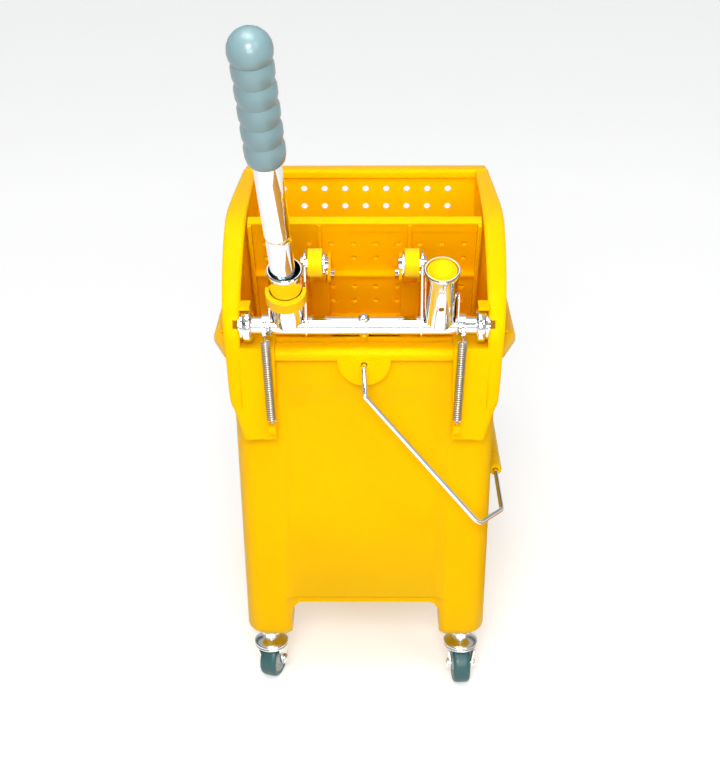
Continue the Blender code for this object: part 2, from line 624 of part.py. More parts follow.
    centre = lever_point(0, -SOCKET_X)
    outer = []
    for h in (0.0355, 0.0460):
        ring = []
        for k in range(24):
            a = 2 * math.pi * k / 24
            ring.append(centre + up * h + fore * (0.0023 + 0.0172 * math.cos(a))
                        + Vector((0.0172 * math.sin(a), 0, 0)))
        outer.append(ring)
    lock = loft("lock", outer)
    back = [centre + up * h + fore * f + Vector((x, 0, 0)) for x, f, h in (
        (-0.03, -0.0015, 0.02), (0.03, -0.0015, 0.02), (0.03, -0.03, 0.02), (-0.03, -0.03, 0.02))]
    cut(lock, rod("bore", centre, up, SOCKET_R + GAP, 0.02, 0.060, 20),
        loft("back", [back, [p + up * 0.04 for p in back]]))
    finish(lock, "lock_ring", SHAFT, "yellow")

    slack = lever_point(0.043, -SOCKET_X)
    axis = (up + Vector((-math.tan(TILT), 0, 0))).normalized()
    origin = slack - axis * 0.043
    groove = 0.1045
    tube = lathe("tube", [(0, 0.0165), (0.0094, 0.0165), (TUBE_R, 0.0180), (TUBE_R, groove - 0.003),
                          (0.0092, groove - 0.001), (0.0092, groove + 0.001), (TUBE_R, groove + 0.003),
                          (TUBE_R, 0.2845), (0.0090, 0.2860), (0, 0.2860)], origin, axis, 20)
    finish(tube, "handle_tube", SHAFT)
    profile = [(TUBE_R + GAP, GRIP_START), (0.0130, GRIP_START), (0.0150, GRIP_START + 0.0025)]
    lobes = 5
    pitch = 0.0915 / lobes
    for k in range(lobes):
        z = GRIP_START + 0.0025 + pitch * k
        profile += [(GRIP_R, z + pitch * 0.30), (GRIP_R, z + pitch * 0.70), (GRIP_R - 0.0016, z + pitch)]
    for k in range(-1, 6):
        a = math.pi / 2 * k / 6
        profile.append((DOME_R * math.cos(a), GRIP_DOME + DOME_R * math.sin(a)))
    profile += [(0, GRIP_DOME + DOME_R), (0, 0.2865), (TUBE_R + GAP, 0.2865)]
    grip = lathe("grip", profile, origin, axis, 16)
    finish(grip, "handle_grip", SHAFT, "grip")


def make_springs():
    turns, steps, sides = 12, 7, 4
    for s in (-1, 1):
        top = EYE + Vector((s * SPRING_X[0], -0.0015, -0.0052))
        foot = SPRING_FOOT + Vector((s * SPRING_X[1], 0, 0))
        u, v, w = frame_for(top - foot)
        length = (top - foot).length
        wire = 0.0009
        mean = SPRING_R - wire
        count = turns * steps
        path = []
        for k in range(count + 1):
            a = 2 * math.pi * k / steps
            path.append(foot + w * (0.0035 + (length - 0.0070) * k / count)
                        + (u * math.cos(a) + v * math.sin(a)) * mean)
        low, high = path[0], path[-1]
        path = ([foot + w * 0.0005, foot + w * 0.0015 + (low - foot - w * 0.0035) * 0.5] + path
                + [top - w * 0.0015 + (high - (top - w * 0.0035)) * 0.5, top - w * 0.0005])
        body = sweep("spring", path, wire, sides)
        finish(body, "return_spring_" + side_name(s), foot, "spring")


# ---------------------------------------------------------------- casters
def make_caster(name, x, y, heading):
    """heading: direction in plan of the wheel axle from the swivel axis."""
    down = Vector((x, y, 0))
    trail = Vector((math.sin(heading), -math.cos(heading), 0))
    across = Vector((math.cos(heading), math.sin(heading), 0))
    stem = lathe("stem", [(0, 0.0462), (0.0050, 0.0462), (0.0050, 0.0490), (0.0086, 0.0490), (0.0086, 0.0545),
                          (0.0050, 0.0548), (0.0050, 0.0565), (0.0092, 0.0565), (0.0092, LEG_Z - GAP),
                          (0.0050, LEG_Z - GAP), (0.0050, 0.0880), (0, 0.0880)], down, (0, 0, 1), 12)
    finish(stem, "caster_stem_" + name, kind="zinc")
    cup = lathe("cup", [(0.0053, 0.0440), (0.0053, 0.0485), (0.0082, 0.0485), (0.0092, 0.0474),
                        (0.0152, 0.0446), (0.0168, 0.0432), (0.0168, 0.0412), (0.0160, 0.0405),
                        (0.0060, 0.0405), (0.0060, 0.0440)], down, (0, 0, 1), 16)
    finish(cup, "caster_cup_" + name, down, "zinc")

    axle = down + trail * TRAIL + Vector((0, 0, WHEEL_R))

    def plan(a, t, z):
        return down + across * a + trail * t + Vector((0, 0, z))

    crown = rod("crown", down, (0, 0, 1), 0.0163, 0.0387, 0.0402, 20)
    cheeks = []
    flare = [(0.0140, 0.0025, 0.0075, 0.0), (0.0165, -0.0005, 0.0105, 0.0), (0.0280, -0.0055, 0.0130, 0.0002),
             (0.0375, -0.0090, 0.0120, 0.0020), (0.0400, -0.0085, 0.0110, 0.0022)]
    for s in (-1, 1):
        rings = [[plan(s * (a + off), t, z) for a, t in ((0.0098, t0), (0.0098, t1), (0.0116, t1), (0.0116, t0))]
                 for z, t0, t1, off in flare]
        cheeks.append(loft("cheek", rings))
    bridge = [[plan(a, t, z) for t, z in ((-0.008, 0.0401), (-0.008, 0.0388), (0.010, 0.0388), (0.010, 0.0401))]
              for a in (-0.0130, 0.0130)]
    fork = union(crown, loft("bridge", bridge), *cheeks)
    cut(fork, rod("bore", axle, across, 0.0033, -0.02, 0.02, 12))
    finish(fork, "caster_fork_" + name, down, "zinc")

    bolt = lathe("axle", [(0, -0.0148), (0.0046, -0.0148), (0.0050, -0.0119), (0.0030, -0.0119),
                          (0.0030, 0.0119), (0.0050, 0.0119), (0.0046, 0.0148), (0, 0.0148)],
                 axle, across, 12)
    finish(bolt, "caster_axle_" + name, down, "zinc")
    w = WHEEL_W / 2
    tread = lathe("tread", [(0.0143, -w + 0.0006), (0.0168, -w), (0.0185, -w + 0.0014), (WHEEL_R, -w + 0.0032),
                            (WHEEL_R, w - 0.0032), (0.0185, w - 0.0014), (0.0168, w), (0.0143, w - 0.0006)],
                  axle, across, 20)
    finish(tread, "wheel_tread_" + name, axle, "tread")
    core = lathe("core", [(0.0033, -0.0088), (0.0072, -0.0088), (0.0076, -0.0062), (0.0128, -0.0062),
                          (0.0140, -0.0074), (0.0140, 0.0074), (0.0128, 0.0062), (0.0076, 0.0062),
                          (0.0072, 0.0088), (0.0033, 0.0088)], axle, across, 16)
    finish(core, "wheel_core_" + name, axle, "core")


def main():
    for obj in list(bpy.data.objects):
        bpy.data.objects.remove(obj)
    make_bucket()
    make_bail()
    make_wringer()
    make_plate()
    make_links()
    make_lever()
    make_springs()
    front, rear = CASTER_Y
    make_caster("front_left", -CASTER_X, front, math.radians(162))
    make_caster("front_right", CASTER_X, front, math.radians(3))
    make_caster("rear_left", -CASTER_X, rear, math.radians(170))
    make_caster("rear_right", CASTER_X, rear, math.radians(200))


main()
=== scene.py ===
"""Looks of the mop bucket trolley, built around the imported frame."""

import json
import math

import bmesh
import bpy
from mathutils import Matrix, Vector


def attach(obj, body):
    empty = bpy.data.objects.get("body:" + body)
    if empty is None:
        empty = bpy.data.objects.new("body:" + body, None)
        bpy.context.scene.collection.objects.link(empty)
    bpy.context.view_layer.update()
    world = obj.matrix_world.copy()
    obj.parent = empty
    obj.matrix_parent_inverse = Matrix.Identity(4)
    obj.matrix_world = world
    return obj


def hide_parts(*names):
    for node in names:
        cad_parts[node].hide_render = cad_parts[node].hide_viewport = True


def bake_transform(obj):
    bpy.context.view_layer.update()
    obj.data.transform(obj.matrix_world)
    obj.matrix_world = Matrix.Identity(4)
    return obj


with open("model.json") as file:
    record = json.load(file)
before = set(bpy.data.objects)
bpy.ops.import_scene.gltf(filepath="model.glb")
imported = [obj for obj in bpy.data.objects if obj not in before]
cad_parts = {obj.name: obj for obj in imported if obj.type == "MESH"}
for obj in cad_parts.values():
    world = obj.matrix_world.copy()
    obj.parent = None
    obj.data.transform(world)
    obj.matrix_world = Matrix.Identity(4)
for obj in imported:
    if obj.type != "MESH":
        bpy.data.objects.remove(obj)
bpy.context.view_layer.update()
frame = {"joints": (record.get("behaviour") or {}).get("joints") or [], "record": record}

JOINTS = {j["name"]: j for j in frame["joints"]}
BODY_OF = {n: b for b, nodes in frame["record"]["behaviour"]["bodies"].items() for n in nodes}
SLOT_OF = {s["node"]: s["material_slot"] for s in frame["record"]["subparts"]}
# design axes have Y = 0 at the lever shaft
SHIFT = Vector((0, JOINTS["lever_press"]["pos_m"][1], 0))

FINE = 3                     # lathe makes this many facets for each segment it is asked for
GAP = 0.0003

# bucket
RIM_Z = 0.369                # top of the rim
LIP_DEPTH = 0.011            # height of the rolled lip
LEG_Z = 0.0595               # underside of the legs
ARCH_Z = 0.094               # underside of the body between the legs
FLOOR_Z = 0.0985             # inside floor
SIDE_HALF = 0.121            # half width behind the shoulder
LIP_HALF = 0.1345            # half width over the lip
BUCKET_REAR = 0.368
LEG_INNER = 0.071            # half width of the arch between the legs
BAIL_PIVOT_Z = 0.356
BAIL_WIRE_R = 0.00225
BAIL_BAR = (0.1265, 0.200)   # resting position of the long bar (x, z)
BAIL_FRONT_Y = -0.028
BAIL_REAR_Y = 0.402
BAIL_CORNER = (0.1025, 0.2085)   # where the sloping arms turn towards the bar (x, z)
BAIL_GRIP = (0.086, 0.255)       # ends of the grip on the long bar (y)

# wringer
WRINGER_HALF = 0.1062        # inside half width
WALL = 0.003
WRINGER_REAR = 0.201         # inner face of the rear wall
WRINGER_TOP = 0.469
CHEEK_FRONT = -0.012
HOLE_R = 0.0031
HOLE_PITCH = 0.020
ROW_PITCH = 0.0175
TOP_ROW_Z = 0.449

# lever and linkage
SHAFT = Vector((0.0, 0.0, 0.3895))
SHAFT_R = 0.008
SHAFT_HALF = 0.1088
LEAN = math.radians(25.5)    # sockets lean to the front
TILT = math.radians(2.85)    # handle stands slack in its socket
SOCKET_X = 0.0648
SOCKET_R = 0.0138
SOCKET_BORE = 0.0127
SOCKET_TOP = 0.069
TUBE_R = 0.0104
GRIP_R = 0.016
DOME_R = 0.0169
GRIP_START, GRIP_DOME = 0.186, 0.2875
CRANK_X = 0.0485
CRANK_PIN = Vector((0.0, -0.0030, 0.4475))
PIN_R = 0.004
PIN_CLEARANCE = 0.0030       # play between crank pin and link eye
LINK_X = 0.0405
LINK_W = 0.012
PLATE_HINGE = Vector((0.0, 0.165, 0.300))
PLATE_LEAN = math.radians(28.0)
PLATE_LENGTH = 0.180
PLATE_HALF = 0.104
PLATE_PIN_UP = 0.1267        # link pin, along the plate
PLATE_PIN_OUT = 0.0180       # link pin, in front of the plate
SPRING_R = 0.0044
SPRING_X = (0.084, 0.0805)   # top and bottom
EYE = Vector((0.0, -0.0168, 0.3905))
SPRING_FOOT = Vector((0.0, -0.0192, 0.304))

# casters
CASTER_X = 0.093
CASTER_Y = (0.027, 0.344)
WHEEL_R, WHEEL_W = 0.019, 0.0165
TRAIL = 0.005
STEM_TOP = 0.0880
THREAD_START, THREAD_PITCH, THREAD_TURNS = 0.0615, 0.0009, 28

# ---------------------------------------------------------------- materials
def new_material(name):
    mat = bpy.data.materials.new(name)
    mat.use_nodes = True
    tree = mat.node_tree
    return mat, tree, tree.nodes["Principled BSDF"]


def noise_node(tree, scale, detail=3.0, stretch=(1, 1, 1)):
    coords = tree.nodes.new("ShaderNodeTexCoord")
    mapping = tree.nodes.new("ShaderNodeMapping")
    mapping.inputs["Scale"].default_value = stretch
    tree.links.new(coords.outputs["Object"], mapping.inputs["Vector"])
    tex = tree.nodes.new("ShaderNodeTexNoise")
    tex.inputs["Scale"].default_value = scale
    tex.inputs["Detail"].default_value = detail
    tree.links.new(mapping.outputs["Vector"], tex.inputs["Vector"])
    return tex.outputs["Fac"]


def spread(tree, fac, low, high, start=0.3, end=0.7):
    node = tree.nodes.new("ShaderNodeMapRange")
    node.inputs["From Min"].default_value = start
    node.inputs["From Max"].default_value = end
    node.inputs["To Min"].default_value = low
    node.inputs["To Max"].default_value = high
    tree.links.new(fac, node.inputs["Value"])
    return node.outputs["Result"]


def tint(tree, fac, dark, light):
    node = tree.nodes.new("ShaderNodeValToRGB")
    node.color_ramp.elements[0].position = 0.3
    node.color_ramp.elements[1].position = 0.7
    node.color_ramp.elements[0].color = (*dark, 1)
    node.color_ramp.elements[1].color = (*light, 1)
    tree.links.new(fac, node.inputs["Fac"])
    return node.outputs["Color"]


def bump(tree, shader, fac, strength, distance):
    node = tree.nodes.new("ShaderNodeBump")
    node.inputs["Strength"].default_value = strength
    node.inputs["Distance"].default_value = distance
    tree.links.new(fac, node.inputs["Height"])
    tree.links.new(node.outputs["Normal"], shader.inputs["Normal"])


def moulded(name, dark, light, rough, grain=1400.0, depth=0.00004, glow=0.0, coat=0.0, sheen=None):
    """Injection-moulded plastic: cloudy colour, fine eggshell grain."""
    mat, tree, shader = new_material(name)
    cloud = noise_node(tree, 9.0, 4.0)
    tree.links.new(tint(tree, cloud, dark, light), shader.inputs["Base Color"])
    scuff = noise_node(tree, 38.0, 6.0, (1, 1, 0.35))
    tree.links.new(spread(tree, scuff, rough[0], rough[1]), shader.inputs["Roughness"])
    bump(tree, shader, noise_node(tree, grain, 2.0), 0.35, depth)
    if glow:
        shader.inputs["Subsurface Weight"].default_value = glow
        shader.inputs["Subsurface Radius"].default_value = (1.0, 0.3, 0.02)
        shader.inputs["Subsurface Scale"].default_value = 0.010
    if sheen:
        shader.inputs["Specular Tint"].default_value = (*sheen, 1)
        shader.inputs["Specular IOR Level"].default_value = 0.22
    shader.inputs["Coat Weight"].default_value = coat
    shader.inputs["Coat Roughness"].default_value = 0.12
    return mat


def plated(name, colour, rough, streak=(1, 1, 1), scale=60.0, depth=0.00002):
    """Bright plating with faint waviness and drawn marks."""
    mat, tree, shader = new_material(name)
    shader.inputs["Metallic"].default_value = 1.0
    dull = tuple(c * 0.9 for c in colour)
    marks = noise_node(tree, scale, 5.0, streak)
    tree.links.new(tint(tree, marks, dull, colour), shader.inputs["Base Color"])
    tree.links.new(spread(tree, marks, rough[0], rough[1]), shader.inputs["Roughness"])
    bump(tree, shader, noise_node(tree, scale * 0.5, 3.0, streak), 0.25, depth)
    return mat


GOLD = (1.0, 0.85, 0.05)      # highlights on the yellow plastic stay warm
YELLOW = moulded("yellow_moulding", (0.97, 0.495, 0.0), (1.0, 0.53, 0.0), (0.28, 0.40),
                 glow=0.30, sheen=GOLD)
LEMON = moulded("yellow_small_parts", (0.97, 0.53, 0.002), (1.0, 0.575, 0.006), (0.26, 0.38),
                glow=0.30, sheen=GOLD)
CHROME = plated("chrome", (0.84, 0.86, 0.87), (0.04, 0.11))
TUBE = plated("chrome_tube", (0.84, 0.86, 0.87), (0.05, 0.12), (1, 1, 0.1), 120.0)
ZINC = plated("zinc_plate", (0.84, 0.86, 0.84), (0.12, 0.26), scale=160.0)
SPRING = plated("spring_wire", (0.58, 0.56, 0.50), (0.12, 0.24), scale=300.0)
RUBBER = moulded("grip_rubber", (0.150, 0.248, 0.266), (0.174, 0.284, 0.304), (0.34, 0.44),
                 900.0, 0.00006, coat=0.5)
TREAD = moulded("tread_rubber", (0.018, 0.085, 0.085), (0.030, 0.115, 0.115), (0.34, 0.52),
                700.0, 0.00006, coat=0.1)
CORE = moulded("wheel_core", (0.36, 0.40, 0.38), (0.44, 0.48, 0.46), (0.38, 0.50))
WHITE = moulded("white_floor", (0.88, 0.88, 0.88), (0.90, 0.90, 0.90), (0.55, 0.70), 300.0, 0.00002)

MATERIALS = {"yellow_plastic": YELLOW, "chrome": CHROME, "spring_steel": SPRING, "grip_rubber": RUBBER,
             "tread_rubber": TREAD, "core_plastic": CORE, "zinc_steel": ZINC}
NODE_MATERIALS = {"handle_tube": TUBE, "bail_wire": TUBE, "lever_shaft": CHROME, "lock_ring": LEMON,
                  "socket_plug": LEMON, "push_link_left": LEMON, "push_link_right": LEMON, "bail_grip": LEMON}


def dress(obj, node, bevel=0.0, angle=32, rings=2, stretch=None):
    """Give a new piece its shading and its slot's material, and hang it on its body unless it is a spring; it
    stands for the CAD node.
    """
    mesh = obj.data
    bm = bmesh.new()
    bm.from_mesh(mesh)
    bmesh.ops.remove_doubles(bm, verts=bm.verts, dist=2e-6)
    bmesh.ops.dissolve_degenerate(bm, edges=bm.edges, dist=1e-6)
    bmesh.ops.recalc_face_normals(bm, faces=bm.faces)
    bmesh.ops.translate(bm, verts=bm.verts, vec=SHIFT)
    bm.to_mesh(mesh)
    bm.free()
    obj.name = node + "_skin"
    mesh.name = obj.name
    mesh.shade_smooth()
    mesh.set_sharp_from_angle(angle=math.radians(angle))
    if bevel:
        mod = obj.modifiers.new("edges", "BEVEL")
        mod.width = bevel
        mod.segments = rings
        mod.limit_method = "ANGLE"
        mod.angle_limit = math.radians(angle)
        mod.harden_normals = True
        mod.miter_outer = "MITER_ARC"
    mesh.materials.clear()
    mesh.materials.append(NODE_MATERIALS.get(node, MATERIALS[SLOT_OF[node]]))
    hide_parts(node)
    if stretch:
        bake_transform(obj)
    else:
        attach(obj, BODY_OF[node])


# ---------------------------------------------------------------- mesh helpers
def mesh_object(name, verts, faces):
    mesh = bpy.data.meshes.new(name)
    mesh.from_pydata([tuple(v) for v in verts], [], faces)
    bm = bmesh.new()
    bm.from_mesh(mesh)
    bmesh.ops.remove_doubles(bm, verts=bm.verts, dist=1e-6)
    bmesh.ops.recalc_face_normals(bm, faces=bm.faces)
    bm.to_mesh(mesh)
    bm.free()
    obj = bpy.data.objects.new(name, mesh)
    bpy.context.scene.collection.objects.link(obj)
    return obj


def loft(name, rings):
    """Closed body through rings of equal length, capped at both ends."""
    n = len(rings[0])
    verts = [p for ring in rings for p in ring]
    faces = []
    for k in range(len(rings) - 1):
        for i in range(n):
            j = (i + 1) % n
            faces.append((k * n + i, k * n + j, (k + 1) * n + j, (k + 1) * n + i))
    faces.append(tuple(reversed(range(n))))
    faces.append(tuple(range((len(rings) - 1) * n, len(rings) * n)))
    return mesh_object(name, verts, faces)


def prism_x(name, outline, x0, x1):
    return loft(name, [[Vector((x, y, z)) for y, z in outline] for x in (x0, x1)])


def prism_y(name, outline, y0, y1):
    return loft(name, [[Vector((x, y, z)) for x, z in outline] for y in (y0, y1)])


def box(name, low, high):
    (x0, y0, z0), (x1, y1, z1) = low, high
    return prism_x(name, [(y0, z0), (y1, z0), (y1, z1), (y0, z1)], x0, x1)


def frame_for(direction, hint=Vector((1, 0, 0))):
    w = Vector(direction).normalized()
    if abs(w.dot(hint)) > 0.95:
        hint = Vector((0, 1, 0))
    u = (hint - w * hint.dot(w)).normalized()
    return u, w.cross(u), w


def lathe(name, profile, origin, direction, segments=20):
    """Body of revolution; profile is (radius, height) along the direction."""
    u, v, w = frame_for(direction)
    origin = Vector(origin)
    segments *= FINE
    verts, rings = [], []
    for r, h in profile:
        if r < 1e-7:
            rings.append([len(verts)])
            verts.append(origin + w * h)
            continue
        ring = []
        for i in range(segments):
            a = 2 * math.pi * i / segments
            ring.append(len(verts))
            verts.append(origin + w * h + (u * math.cos(a) + v * math.sin(a)) * r)
        rings.append(ring)
    closed = len(rings[0]) > 1 and len(rings[-1]) > 1
    pairs = list(zip(rings, rings[1:]))
    if closed:
        pairs.append((rings[-1], rings[0]))
    faces = []
    for a, b in pairs:
        for i in range(segments):
            j = (i + 1) % segments
            quad = (a[i % len(a)], a[j % len(a)], b[j % len(b)], b[i % len(b)])
            face = tuple(dict.fromkeys(quad))
            if len(face) > 2:
                faces.append(face)
    return mesh_object(name, verts, faces)


def rod(name, origin, direction, radius, h0, h1, segments=16):
    return lathe(name, [(0, h0), (radius, h0), (radius, h1), (0, h1)], origin, direction, segments)


def ring_body(name, origin, direction, inner, outer, h0, h1, segments=20):
    return lathe(name, [(inner, h0), (outer, h0), (outer, h1), (inner, h1)], origin, direction, segments)


def rounded(points, radii, steps=10):
    """Polygon with its corners replaced by arcs of equal point count; radius 0 keeps a corner."""
    out = []
    n = len(points)
    for i, (p, r) in enumerate(zip(points, radii)):
        p = Vector(p)
        a = (Vector(points[i - 1]) - p).normalized()
        b = (Vector(points[(i + 1) % n]) - p).normalized()
        if r <= 0:
            out.append(tuple(p))
            continue
        half = math.acos(max(-1, min(1, a.dot(b)))) / 2
        d = r / math.tan(half)
        c = p + (a + b).normalized() * (r / math.sin(half))
        s, e = p + a * d - c, p + b * d - c
        sweep = s.angle_signed(e)
        for k in range(steps + 1):
            t = -sweep * k / steps
            out.append((c.x + s.x * math.cos(t) - s.y * math.sin(t),
                        c.y + s.x * math.sin(t) + s.y * math.cos(t)))
    return out


def capsule(p, q, r_p, r_q, steps=24):
    """Outline of a link with round ends at p and q."""
    p, q = Vector(p), Vector(q)
    base = math.atan2(q.y - p.y, q.x - p.x)
    out = []
    for c, r, start in ((p, r_p, base + math.pi / 2), (q, r_q, base - math.pi / 2)):
        for k in range(steps + 1):
            a = start + math.pi * k / steps
            out.append((c.x + r * math.cos(a), c.y + r * math.sin(a)))
    return out


def fillet_path(points, radii, steps=12):
    out = [Vector(points[0])]
    for i in range(1, len(points) - 1):
        p = Vector(points[i])
        a = (Vector(points[i - 1]) - p).normalized()
        b = (Vector(points[i + 1]) - p).normalized()
        half = a.angle(b) / 2
        d = radii[i - 1] / math.tan(half)
        c = p + (a + b).normalized() * (radii[i - 1] / math.sin(half))
        s, e = p + a * d - c, p + b * d - c
        total = s.angle(e)
        axis = s.cross(e).normalized()
        for k in range(steps + 1):
            out.append(c + Matrix.Rotation(total * k / steps, 3, axis) @ s)
    out.append(Vector(points[-1]))
    return out


def sweep(name, path, radius, sides=16):
    """Round wire along a path, carried without twist."""
    tangents = []
    for i in range(len(path)):
        a, b = path[max(i - 1, 0)], path[min(i + 1, len(path) - 1)]
        tangents.append((b - a).normalized())
    u, v, _ = frame_for(tangents[0])
    rings = []
    for i, (p, t) in enumerate(zip(path, tangents)):
        if i:
            turn = tangents[i - 1].rotation_difference(t)
            u = turn @ u
            v = turn @ v
        rings.append([p + (u * math.cos(a) + v * math.sin(a)) * radius
                      for a in (2 * math.pi * k / sides for k in range(sides))])
    return loft(name, rings)


def combine(base, others, operation):
    for other in others:
        mod = base.modifiers.new("cut", "BOOLEAN")
        mod.solver = "EXACT"
        mod.operation = operation
        mod.object = other
        bpy.context.view_layer.update()
        graph = bpy.context.evaluated_depsgraph_get()
        mesh = bpy.data.meshes.new_from_object(base.evaluated_get(graph), depsgraph=graph)
        base.modifiers.clear()
        base.data = mesh
        bpy.data.objects.remove(other)
    return base


def union(base, *others):
    return combine(base, others, "UNION")


def cut(base, *others):
    return combine(base, others, "DIFFERENCE")


def joined(name, bodies):
    """One object holding several bodies that do not touch (for cutters)."""
    verts, faces = [], []
    for body in bodies:
        start = len(verts)
        verts += [v.co.copy() for v in body.data.vertices]
        faces += [tuple(start + i for i in f.vertices) for f in body.data.polygons]
        bpy.data.objects.remove(body)
    return mesh_object(name, verts, faces)


def side_name(side):
    return "left" if side < 0 else "right"


def smooth_path(points, count):
    """Catmull-Rom curve through the points, as (place, value) samples."""
    rows = [Vector((*p, w)) for p, w in points]
    rows = [rows[0] * 2 - rows[1]] + rows + [rows[-1] * 2 - rows[-2]]
    spans = len(rows) - 3
    out = []
    for i in range(count + 1):
        t = spans * i / count
        k = min(int(t), spans - 1)
        t -= k
        a, b, c, d = rows[k:k + 4]
        out.append(0.5 * ((2 * b) + (c - a) * t + (2 * a - 5 * b + 4 * c - d) * t ** 2
                          + (3 * b - a - 3 * c + d) * t ** 3))
    return out


# ---------------------------------------------------------------- bucket
def bucket_ring(z, front_half, side_half, front, shoulder, rear, radii, recess=0.0, panel=(0.0660, 0.0760)):
    """Plan outline at height z; recess sinks the middle of both end walls."""
    sink = max(recess, 0.00005)
    a, b = panel
    half = [(a, front + sink), (b, front), (front_half, front), (side_half, shoulder),
            (side_half, rear), (b - 0.010, rear), (a - 0.010, rear - sink)]
    soft = [0.008, 0.008] + radii + [0.008, 0.008]
    points = half + [(-x, y) for x, y in reversed(half)]
    return [Vector((x, y, z)) for x, y in rounded(points, soft + soft[::-1])]


def make_bucket():
    outer, lip, inner = [0.016, 0.05, 0.032], [0.014, 0.018, 0.045], [0.006, 0.05, 0.031]
    low, top, depth, sill = RIM_Z - LIP_DEPTH, RIM_Z, 0.0045, 0.0050

    def outside(z, recess, inset=0.0):
        t = (z - LEG_Z) / (low - LEG_Z)
        return bucket_ring(z, 0.1133 + 0.0017 * t - inset, 0.1150 + 0.0060 * t - inset,
                           0.0075 - 0.0045 * t + inset, 0.060, BUCKET_REAR - 0.0055 + 0.0055 * t - inset,
                           outer, recess)

    def rim(z, inset):
        return bucket_ring(z, 0.119 - inset, LIP_HALF - inset, -0.0065 + inset, 0.036,
                           BUCKET_REAR + 0.014 - inset, lip)

    def inside(z, front_half, side_half, front, rear):
        return bucket_ring(z, front_half, side_half, front, 0.060, BUCKET_REAR - rear, inner,
                           panel=(0.050, 0.060))

    foot = ((0.0, 0.0085), (0.0005, 0.0060), (0.0018, 0.0036), (0.0038, 0.0019), (0.0064, 0.0007),
            (0.0100, 0.0))
    panel = ((0.0985, depth + sill), (0.1022, depth + sill), (0.1032, depth + sill * 0.1),
             (0.1042, depth), (0.200, depth), (0.305, depth), (0.316, depth * 0.8),
             (0.325, depth * 0.35), (0.333, 0.0))
    mouth = ((0.0, 0.1128, 0.0007, 0.0102, 0.0017), (0.0008, 0.1117, 0.0018, 0.0113, 0.0028),
             (0.0030, 0.1114, 0.0021, 0.0116, 0.0031))
    basin = ((0.010, 0.1078, 0.1097, 0.0150, 0.0120), (0.005, 0.1060, 0.1078, 0.0200, 0.0160),
             (0.001, 0.1015, 0.1035, 0.0225, 0.0190), (0.0, 0.0960, 0.0980, 0.0270, 0.0240))
    rings = [outside(LEG_Z + h, depth + sill, inset) for h, inset in foot]
    rings += [outside(z, recess) for z, recess in panel]
    rings += [outside(low - 0.003, 0.0), outside(low - 0.0012, 0.0, -0.0006)]
    rings += [rim(low + h, inset) for h, inset in
              ((-0.0002, 0.0060), (0.0, 0.0020), (0.0008, 0.0005), (0.002, 0.0))]
    rings += [rim(top - h, inset) for h, inset in
              ((0.0052, 0.0), (0.0032, 0.0006), (0.0014, 0.0022), (0.0003, 0.0046), (0.0, 0.0070))]
    rings += [inside(top - h, front_half, SIDE_HALF - wall, front, rear)
              for h, front_half, wall, front, rear in mouth]
    rings += [inside(FLOOR_Z + h, *sizes) for h, *sizes in basin]
    body = loft("bucket", rings)
    arch = rounded([(-LEG_INNER, 0.02), (LEG_INNER, 0.02), (LEG_INNER, ARCH_Z), (-LEG_INNER, ARCH_Z)],
                   [0, 0, 0.011, 0.011])
    rear = BUCKET_REAR - 0.049
    side_arch = rounded([(0.052, 0.02), (rear, 0.02), (rear, ARCH_Z), (0.052, ARCH_Z)],
                        [0, 0, 0.014, 0.014])
    cut(body, prism_y("arch", arch, -0.05, 0.45), prism_x("side_arch", side_arch, -0.2, 0.2))
    half_disc = [(0.023 * math.cos(a), low + 0.002 + 0.023 * math.sin(a))
                 for a in (math.pi + math.pi * k / 40 for k in range(41))]
    union(body, prism_y("boss", half_disc, -0.0095, 0.0095),
          prism_y("boss_rear", half_disc, BUCKET_REAR - 0.0035, BUCKET_REAR + 0.0170))
    cut(body,
        rod("bail_hole", (0, 0, BAIL_PIVOT_Z), (0, 1, 0), 0.0029, -0.02, 0.006, 10),
        rod("bail_hole_rear", (0, 0, BAIL_PIVOT_Z), (0, 1, 0), 0.0029,
            BUCKET_REAR + 0.001, BUCKET_REAR + 0.04, 10),
        joined("stem_holes", [
            rod("hole", (sx * CASTER_X, y, 0), (0, 0, 1), 0.0053, 0.03, 0.090, 10)
            for sx in (-1, 1) for y in CASTER_Y]))
    dress(body, "bucket_shell", bevel=0.0016, angle=34, rings=3)


def make_bail():
    x, z = BAIL_BAR
    top = BAIL_PIVOT_Z
    arm_x, arm_z = BAIL_CORNER
    start, end = BAIL_GRIP
    rear = BUCKET_REAR
    path = fillet_path([
        (0, 0.003, top), (0, -0.0175, top), (0.001, BAIL_FRONT_Y, 0.335),
        (arm_x, BAIL_FRONT_Y, arm_z), (x, 0.012, z), (x, rear - 0.003, z),
        (arm_x, BAIL_REAR_Y, arm_z), (0.001, BAIL_REAR_Y, 0.335),
        (0, rear + 0.0235, top), (0, rear + 0.004, top)],
        [0.006, 0.006, 0.012, 0.012, 0.012, 0.012, 0.006, 0.006])
    dress(sweep("bail", path, BAIL_WIRE_R, 20), "bail_wire", angle=60)
    ends = [(0.0027, 0.0), (0.0044, 0.0), (0.0053, 0.0006), (0.0060, 0.0020), (0.0063, 0.0040)]
    profile = [(r, start + h) for r, h in ends] + [(r, end - h) for r, h in reversed(ends)]
    dress(lathe("grip", profile, (x, 0, z), (0, 1, 0), 14), "bail_grip")


# ---------------------------------------------------------------- wringer
def wringer_edge():
    """Front edge of a side seen from the side, with the half width over its flange there."""
    return [((0.2035, WRINGER_TOP), 0.1185), ((0.102, 0.4625), 0.1240), ((0.062, 0.449), 0.1243),
            ((0.028, 0.428), 0.1233), ((0.004, 0.408), 0.1218), ((-0.009, 0.388), 0.1203),
            ((CHEEK_FRONT, 0.366), 0.1190), ((CHEEK_FRONT, 0.325), 0.1170),
            ((CHEEK_FRONT, 0.311), 0.1130), ((CHEEK_FRONT, 0.2845), 0.1060)]


